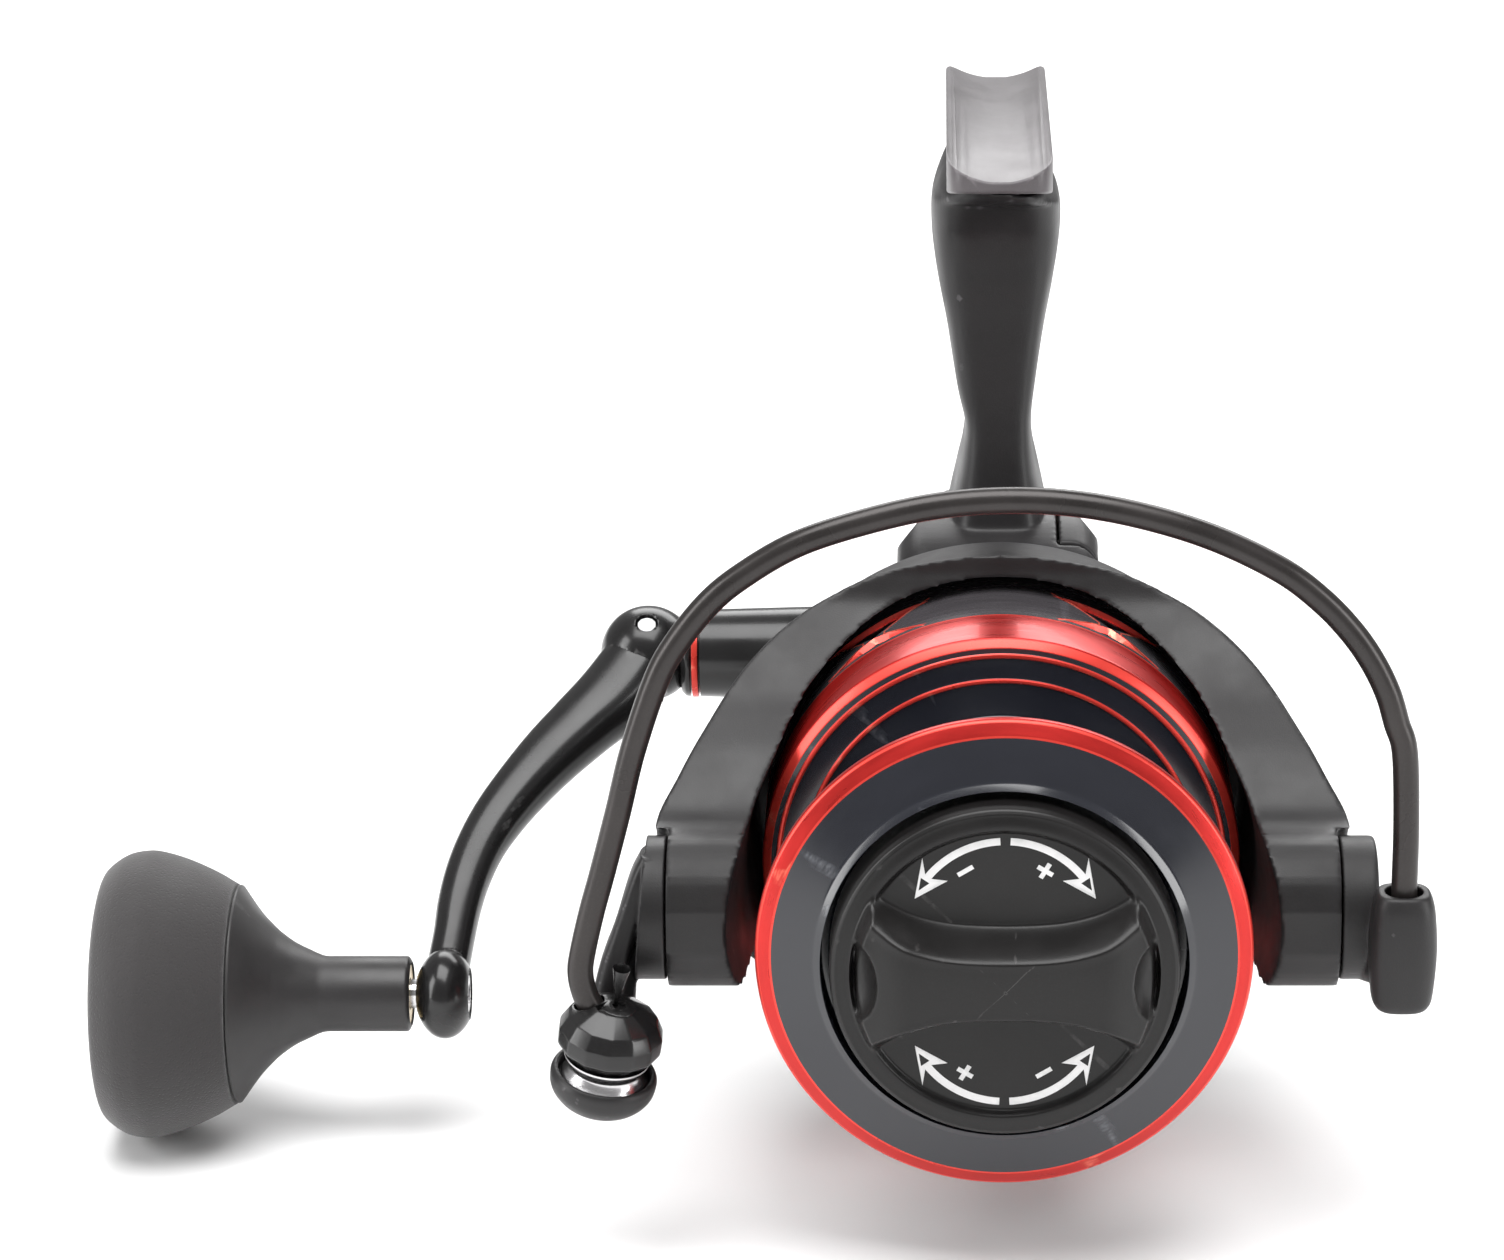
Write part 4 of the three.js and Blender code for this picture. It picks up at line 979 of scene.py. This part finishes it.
UPRIGHT = Matrix.Translation((57.8, BAIL_Y, 0)) @ Matrix.Rotation(math.pi / 2, 4, "X")
holder = lathe(fillet([(0, HUB_IN), (HUB_R, HUB_IN), (HUB_R, HUB_OUT, 0.8), (0, HUB_OUT)], 0.2), 96, "x")
holder.data.transform(Matrix.Translation(PIVOT))
BARREL = [
    (57.8, BAIL_Y, -10, 3.2, 3.2, 3), (57.8, BAIL_Y, -9.4, 3.9, 3.9, 3), (57.8, BAIL_Y, -7.6, 4.5, 4.4, 3),
    (57.8, BAIL_Y, -1, 4.95, 4.8, 3), (57.8, BAIL_Y, 5, 4.6, 4.5, 3), (57.8, BAIL_Y, 7.4, 4, 3.9, 3),
    (57.8, BAIL_Y, 8, 3.5, 3.4, 3),
]
ARM_RIGHT = [
    (53.4, 17, -3, 1.5, 7.5, 4), (54.6, 12, -2, 2, 7, 4), (55.8, 8.4, -1.5, 2.4, 6.4, 4),
    (56.4, 5, -1.4, 2.4, 6, 4),
]
union(holder, loft(BARREL, sides=64), loft(ARM_RIGHT, sides=64))
boolean(
    holder,
    lathe([(0, -3.4), (2.75, -3.4), (2.75, 12), (0, 12)], 64, at=UPRIGHT),
    rod(2.8, 40, 60, "x", PIVOT),
    rod(4.3, 53.2, 60, "x", PIVOT),
)
remesh(holder, 0.22, 4, 0.7)
put(holder, "bail_holder_visual", "bail", ["bail_holder"], M_ROTOR, sharp=60)

LEG = [  # runs down the hub's leaning outer edge and under the line roller
    (-52.0, 17.4, 9, 1.2, 4, 3), (-52.9, 17, 6, 1.8, 4.6, 3.2), (-54.2, 16.4, 1.5, 2, 4.4, 3.4),
    (-55.7, 15.8, -3, 2, 3.8, 3.4), (-57.4, 15.2, -8, 2, 3.2, 3.2), (-58.7, 14.8, -14, 2.1, 2.6, 3),
    (-58.9, 14.6, -19, 2.4, 2.3, 3), (-58.8, 14, -23.4, 3, 2.2, 2.6), (-58.9, 11, -25.4, 3.6, 2.3, 2.4),
    (-59.2, 7, -25.8, 3, 1.8, 2.2),
]
WEB = fillet([(-51, 7), (-54.5, 1), (-58.4, -9), (-58.4, -19), (-54.6, -18), (-54.2, -11), (-51, -5)], 1)
hub_disc = fillet([(0, -HUB_IN), (HUB_R, -HUB_IN), (HUB_R, -58), (0, -58)], 0.2)
arm = common(
    lathe(hub_disc, 96, "x", Matrix.Translation(PIVOT)),
    prism([(-HUB_IN, 12), (-52.3, 12), (-54.4, -12), (-HUB_IN, -12)], 0, 40, "xz"),
)
union(arm, loft(LEG, sides=64), prism(WEB, 15.4, 20, "xz"))
BOWL = fillet(
    [(0, -7.1), (3.4, -7.1, 1.6), (6.2, -5.7, 1.6), (7.75, -3.6, 1.2), (7.9, -1.4, 0.8), (7.5, -0.6, 0.3),
     (6.9, -0.6, 0.2), (6.8, -2.3, 0.1), (0, -2.3)],
)
union(arm, lathe(BOWL, 96, at=ROLLER_AT))
boolean(
    arm,
    rod(2.8, -62, -40, "x", PIVOT),
    rod(4.3, -62, -53.2, "x", PIVOT),
    lathe([(0, -6), (1.9, -6), (1.9, 0), (0, 0)], 48, at=ROLLER_AT),
)
remesh(arm, 0.2, 4, 0.7)
put(arm, "bail_arm_visual", "bail", ["bail_arm"], M_ROTOR, sharp=60)

PIVOT_SCREW = fillet(
    [(0, 44.6), (1.7, 44.6), (1.7, 49.4), (2.5, 49.7), (2.5, 53.5), (4, 53.5), (4, 54.6, 0.4), (0, 54.6)],
    0.1,
)
for name, side in (("bail_pivot_screw_left", -1), ("bail_pivot_screw_right", 1)):
    head = lathe([(r, side * t) for r, t in PIVOT_SCREW], 64, "x")
    head.data.transform(Matrix.Translation(PIVOT))
    near, far = sorted((side * 54, side * 56))
    boolean(head, block((near, far), (PIVOT.y - 3, PIVOT.y + 3), (PIVOT.z - 0.5, PIVOT.z + 0.5)))
    put(head, name + "_visual", "rotor", [name], M_STEEL)

CAP = fillet([(0, 2.3), (6.2, 2.3, 0.3), (7.75, 4, 0.5), (7.75, 6.4, 0.3), (6.6, 8.6, 0.3), (3, 10.6, 0.5),
    (0, 10.6)])
roller_cap = lathe(CAP, 14, at=ROLLER_AT)
boolean(
    roller_cap,
    lathe([(0, 0), (1.9, 0), (1.9, 6), (0, 6)], 48, at=ROLLER_AT),
    loft([(x, BAIL_Y, z, WIRE_R + 0.3, WIRE_R + 0.3) for x, z in WIRE[:6]], (0, 1, 0), 32, 8),
)
bevel(roller_cap, 0.3, 3, 12)
put(roller_cap, "roller_cap_visual", "bail", ["roller_cap"], M_GLOSS, sharp=30)
SOCKET_AT = ROLLER_AT @ Matrix.Translation((0.6, 0, 0.4))
socket_profile = fillet([(0, 10.2), (2.3, 10.2), (2.5, 10.75, 0.2), (1.6, 11, 0.2), (0, 11)], 0.1)
cap_screw = lathe(socket_profile, 48, at=ROLLER_AT @ Matrix.Translation((0.6, -0.1, 0.4)))
boolean(cap_screw, lathe([(0, 10.4), (1.1, 10.4), (1.1, 12), (0, 12)], 6, at=SOCKET_AT))
put(cap_screw, "roller_cap_screw", "bail", material=M_GLOSS)
ROLLER_PROFILE = spline(
    [(6.35, -2), (6.3, -1.5), (5.75, -0.9), (5.35, -0.2), (5.3, 0.3), (5.55, 0.9), (6.2, 1.45), (6.35, 2)], 5,
)
roller = lathe([(3.9, -2)] + ROLLER_PROFILE + [(3.9, 2)], 128, at=ROLLER_AT)
put(roller, "line_roller_visual", "roller", ["line_roller"], M_STEEL)

# ---- handle ----
SLEEVE = fillet(
    [
        (3.3, -51.5), (6.3, -51.5, 0.3), (7.1, -50.7, 0.3), (7.1, -50, 0.1), (6.4, -50, 0.1),
        (6.4, -48.4, 0.1), (7.15, -48.4, 0.15), (7.8, -24, 1), (8.6, -21.6, 0.3), (4.6, -21.6, 0.1),
        (4.6, -23.8, 0.1), (3.3, -24, 0.1),
    ],
    0.2,
)
BALL_R = 7.8
GAP = 0.3
FOLD = reel_point("handle_fold")
sleeve = boolean(lathe(SLEEVE, 128, "x", HANDLE_AT), ball(BALL_R + GAP, FOLD, sides=96))
put(sleeve, "handle_sleeve_visual", "drive", ["handle_sleeve"], M_GLOSS)
RING = fillet([(6.7, -49.7), (7.25, -49.7), (7.25, -48.7), (6.7, -48.7)], 0.15)
ring = lathe(RING, 128, "x", HANDLE_AT)
put(ring, "sleeve_ring_visual", "drive", ["sleeve_ring"], M_REDLINE)

FOLD_AXIS = Vector(JOINTS["handle_fold"]["axis"]).normalized()
X_AXIS = Vector((1, 0, 0))
DOWN = FOLD_AXIS.cross(X_AXIS).normalized()
CRANK = Matrix.Translation(FOLD) @ Matrix(
    ((1, DOWN.x, FOLD_AXIS.x), (0, DOWN.y, FOLD_AXIS.y), (0, DOWN.z, FOLD_AXIS.z))
).to_4x4()
CURVE = [  # across, down the crank, half width, half thickness
    (0, 0, 6.2, 6), (-5, 9, 6.2, 5.4), (-10.1, 15.6, 5.6, 4.9), (-14.8, 21.8, 5.1, 4.6),
    (-19, 28.2, 4.6, 4.3), (-22.5, 34.4, 4.25, 4), (-25.1, 40.4, 3.9, 3.7), (-26.8, 46.4, 3.7, 3.5),
    (-27.8, 52.4, 3.5, 3.3), (-28.3, 58.5, 3.3, 3.2), (-28.8, 64.3, 3.3, 3.2), (-29, 69, 3.2, 3.2),
]
CRANK_LENGTH = 70
BOSS_AT = (-29, CRANK_LENGTH, 0)
BOSS_LINE = (0, CRANK_LENGTH, 0)
ACROSS = Matrix.Rotation(math.pi / 2, 4, "X")  # carries a turned shape onto the fold pin's line
crank = ball(BALL_R, sides=96)
union(
    crank,
    loft([(x, s, 0, wide, tall, 2.3) for x, s, wide, tall in CURVE], sides=72, per=6),
    ball(6.95, BOSS_AT, 0.67, 96),
)
boolean(
    crank,
    block((-4.8, 12), (-12, 4.8), (-2.2, 2.2)),
    lathe([(0, -9), (1.8, -9), (1.8, 9), (0, 9)], 48, at=ACROSS),
    rod(2.6, -36, -20, "x", BOSS_LINE),
    lathe([(0, 6.6), (2.4, 6.6), (2.4, 9), (0, 9)], 48, at=ACROSS),
    rod(3.8, -27.2, -20, "x", BOSS_LINE),
)
bevel(crank, 0.22, 2, 40)
crank.data.transform(CRANK)
put(crank, "crank_visual", "crank", ["crank_arm"], M_GLOSS, sharp=38)

GRIP = reel_point("grip_spin")
GRIP_AT = Matrix.Translation((0, GRIP.y, GRIP.z))
HUB = fillet(
    [
        (4.9, -91.1), (5.85, -91.6, 0.4), (5.85, -104.8, 1), (8, -109.4, 2), (9.8, -111.8, 0.8),
        (12.6, -114.6, 3), (16.9, -117.6, 0.5), (16.9, -118), (9, -118), (9, -133.4), (2.8, -133.4),
        (2.8, -96), (4.9, -96),
    ],
    0.15, 5,
)
put(lathe(HUB, 160, "x", GRIP_AT), "grip_hub_visual", "handle_grip", ["grip_hub"], M_POLYMER)
GRIP_OUTER = spline(
    [(17.1, -118.3), (19, -121.6), (20.9, -125.9), (22, -129.6), (22.23, -132), (21.6, -135), (19.6, -137.8),
     (17.6, -138.7), (15.5, -138.8)], 6,
)
grip = lathe(
    GRIP_OUTER + [(9, -138.5), (7.4, -138.3), (7.2, -133.9), (9.3, -133.9), (9.3, -118.3)], 160, "x", GRIP_AT,
)
put(grip, "grip_visual", "handle_grip", ["grip"], M_FOAM)
CAP_DISC = fillet([(0, -138.6), (2, -138.2, 1), (5.6, -138.6, 0.5), (6.9, -138.2, 0.4), (6.9, -136),
    (0, -136)], 0.3)
put(lathe(CAP_DISC, 96, "x", GRIP_AT), "grip_cap_visual", "handle_grip", ["grip_cap"], M_GLOSS)
axle_head = lathe(
    fillet([(0, -83.8), (3.4, -83.8), (3.4, -82.8, 0.3), (2.9, -82.3, 0.3), (0, -82.3)], 0.15), 64, "x",
        GRIP_AT,
)
boolean(axle_head, lathe([(0, -83.2), (1.7, -83.2), (1.7, -82), (0, -82)], 6, "x", GRIP_AT))
put(axle_head, "grip_axle_screw_visual", "crank", ["grip_axle_screw"], M_STEEL)

# ---- CAD nodes that stay ----
SLOTS = {part["node"]: part["material_slot"] for part in RECORD["subparts"]}
for name, node in frame["nodes"].items():
    node.data.materials.clear()
    node.data.materials.append(SLOT_MATERIAL[SLOTS[name]])

# ---- floor, light and camera ----
low, high = CAD_BOX
floor_z = low.z - 0.0005
floor_mesh = bpy.data.meshes.new("floor")
FLOOR_HALF = 6
floor_corners = [(FLOOR_HALF * x, FLOOR_HALF * y, floor_z) for x, y in ((-1, -1), (1, -1), (1, 1), (-1, 1))]
floor_mesh.from_pydata(floor_corners, [], [(0, 1, 2, 3)])
floor = bpy.data.objects.new("floor", floor_mesh)
bpy.context.scene.collection.objects.link(floor)
M_FLOOR = bpy.data.materials.new("floor")
M_FLOOR.use_nodes = True
floor_shader = M_FLOOR.node_tree.nodes["Principled BSDF"]
floor_shader.inputs["Base Color"].default_value = (0.93, 0.93, 0.93, 1)
floor_shader.inputs["Roughness"].default_value = 0.9
floor_shader.inputs["Specular IOR Level"].default_value = 0.1
floor_mesh.materials.append(M_FLOOR)

world = bpy.data.worlds.new("world")
bpy.context.scene.world = world
world.use_nodes = True
world.node_tree.nodes["Background"].inputs["Color"].default_value = (1, 1, 1, 1)
world.node_tree.nodes["Background"].inputs["Strength"].default_value = 0.34
bpy.context.scene.view_settings.view_transform = "Standard"


def softbox(name, at, target, size, power):
    data = bpy.data.lights.new(name, "AREA")
    data.shape = "RECTANGLE"
    data.size, data.size_y = size
    data.energy = power
    light = bpy.data.objects.new(name, data)
    light.location = at
    light.rotation_euler = (Vector(target) - Vector(at)).to_track_quat("-Z", "Y").to_euler()
    bpy.context.scene.collection.objects.link(light)


MIDDLE = (low + high) / 2
softbox("key", (-0.1, -0.25, 0.85), MIDDLE, (0.9, 0.7), 13)
softbox("left", (-0.95, -0.35, 0.25), MIDDLE, (0.35, 0.8), 6)
softbox("right", (0.95, -0.45, 0.2), MIDDLE, (0.3, 0.8), 5.5)
softbox("back", (0.1, 0.9, 0.55), MIDDLE, (1.1, 0.5), 8)

CAMERA_AT = (-9.916, -695.388, 280.955)  # in the reel's frame
CAMERA_PITCH = 18.46
camera_data = bpy.data.cameras.new("camera")
camera_data.sensor_width = 36
camera_data.lens = 124.33
camera_data.shift_x = -0.122
camera_data.shift_y = 0.002
camera_data.clip_start = 0.05
camera = bpy.data.objects.new("camera", camera_data)
camera.location = ORIGIN + Vector(CAMERA_AT) * MM
camera.rotation_euler = (math.radians(90 - CAMERA_PITCH), 0, 0)
bpy.context.scene.collection.objects.link(camera)
bpy.context.scene.camera = camera
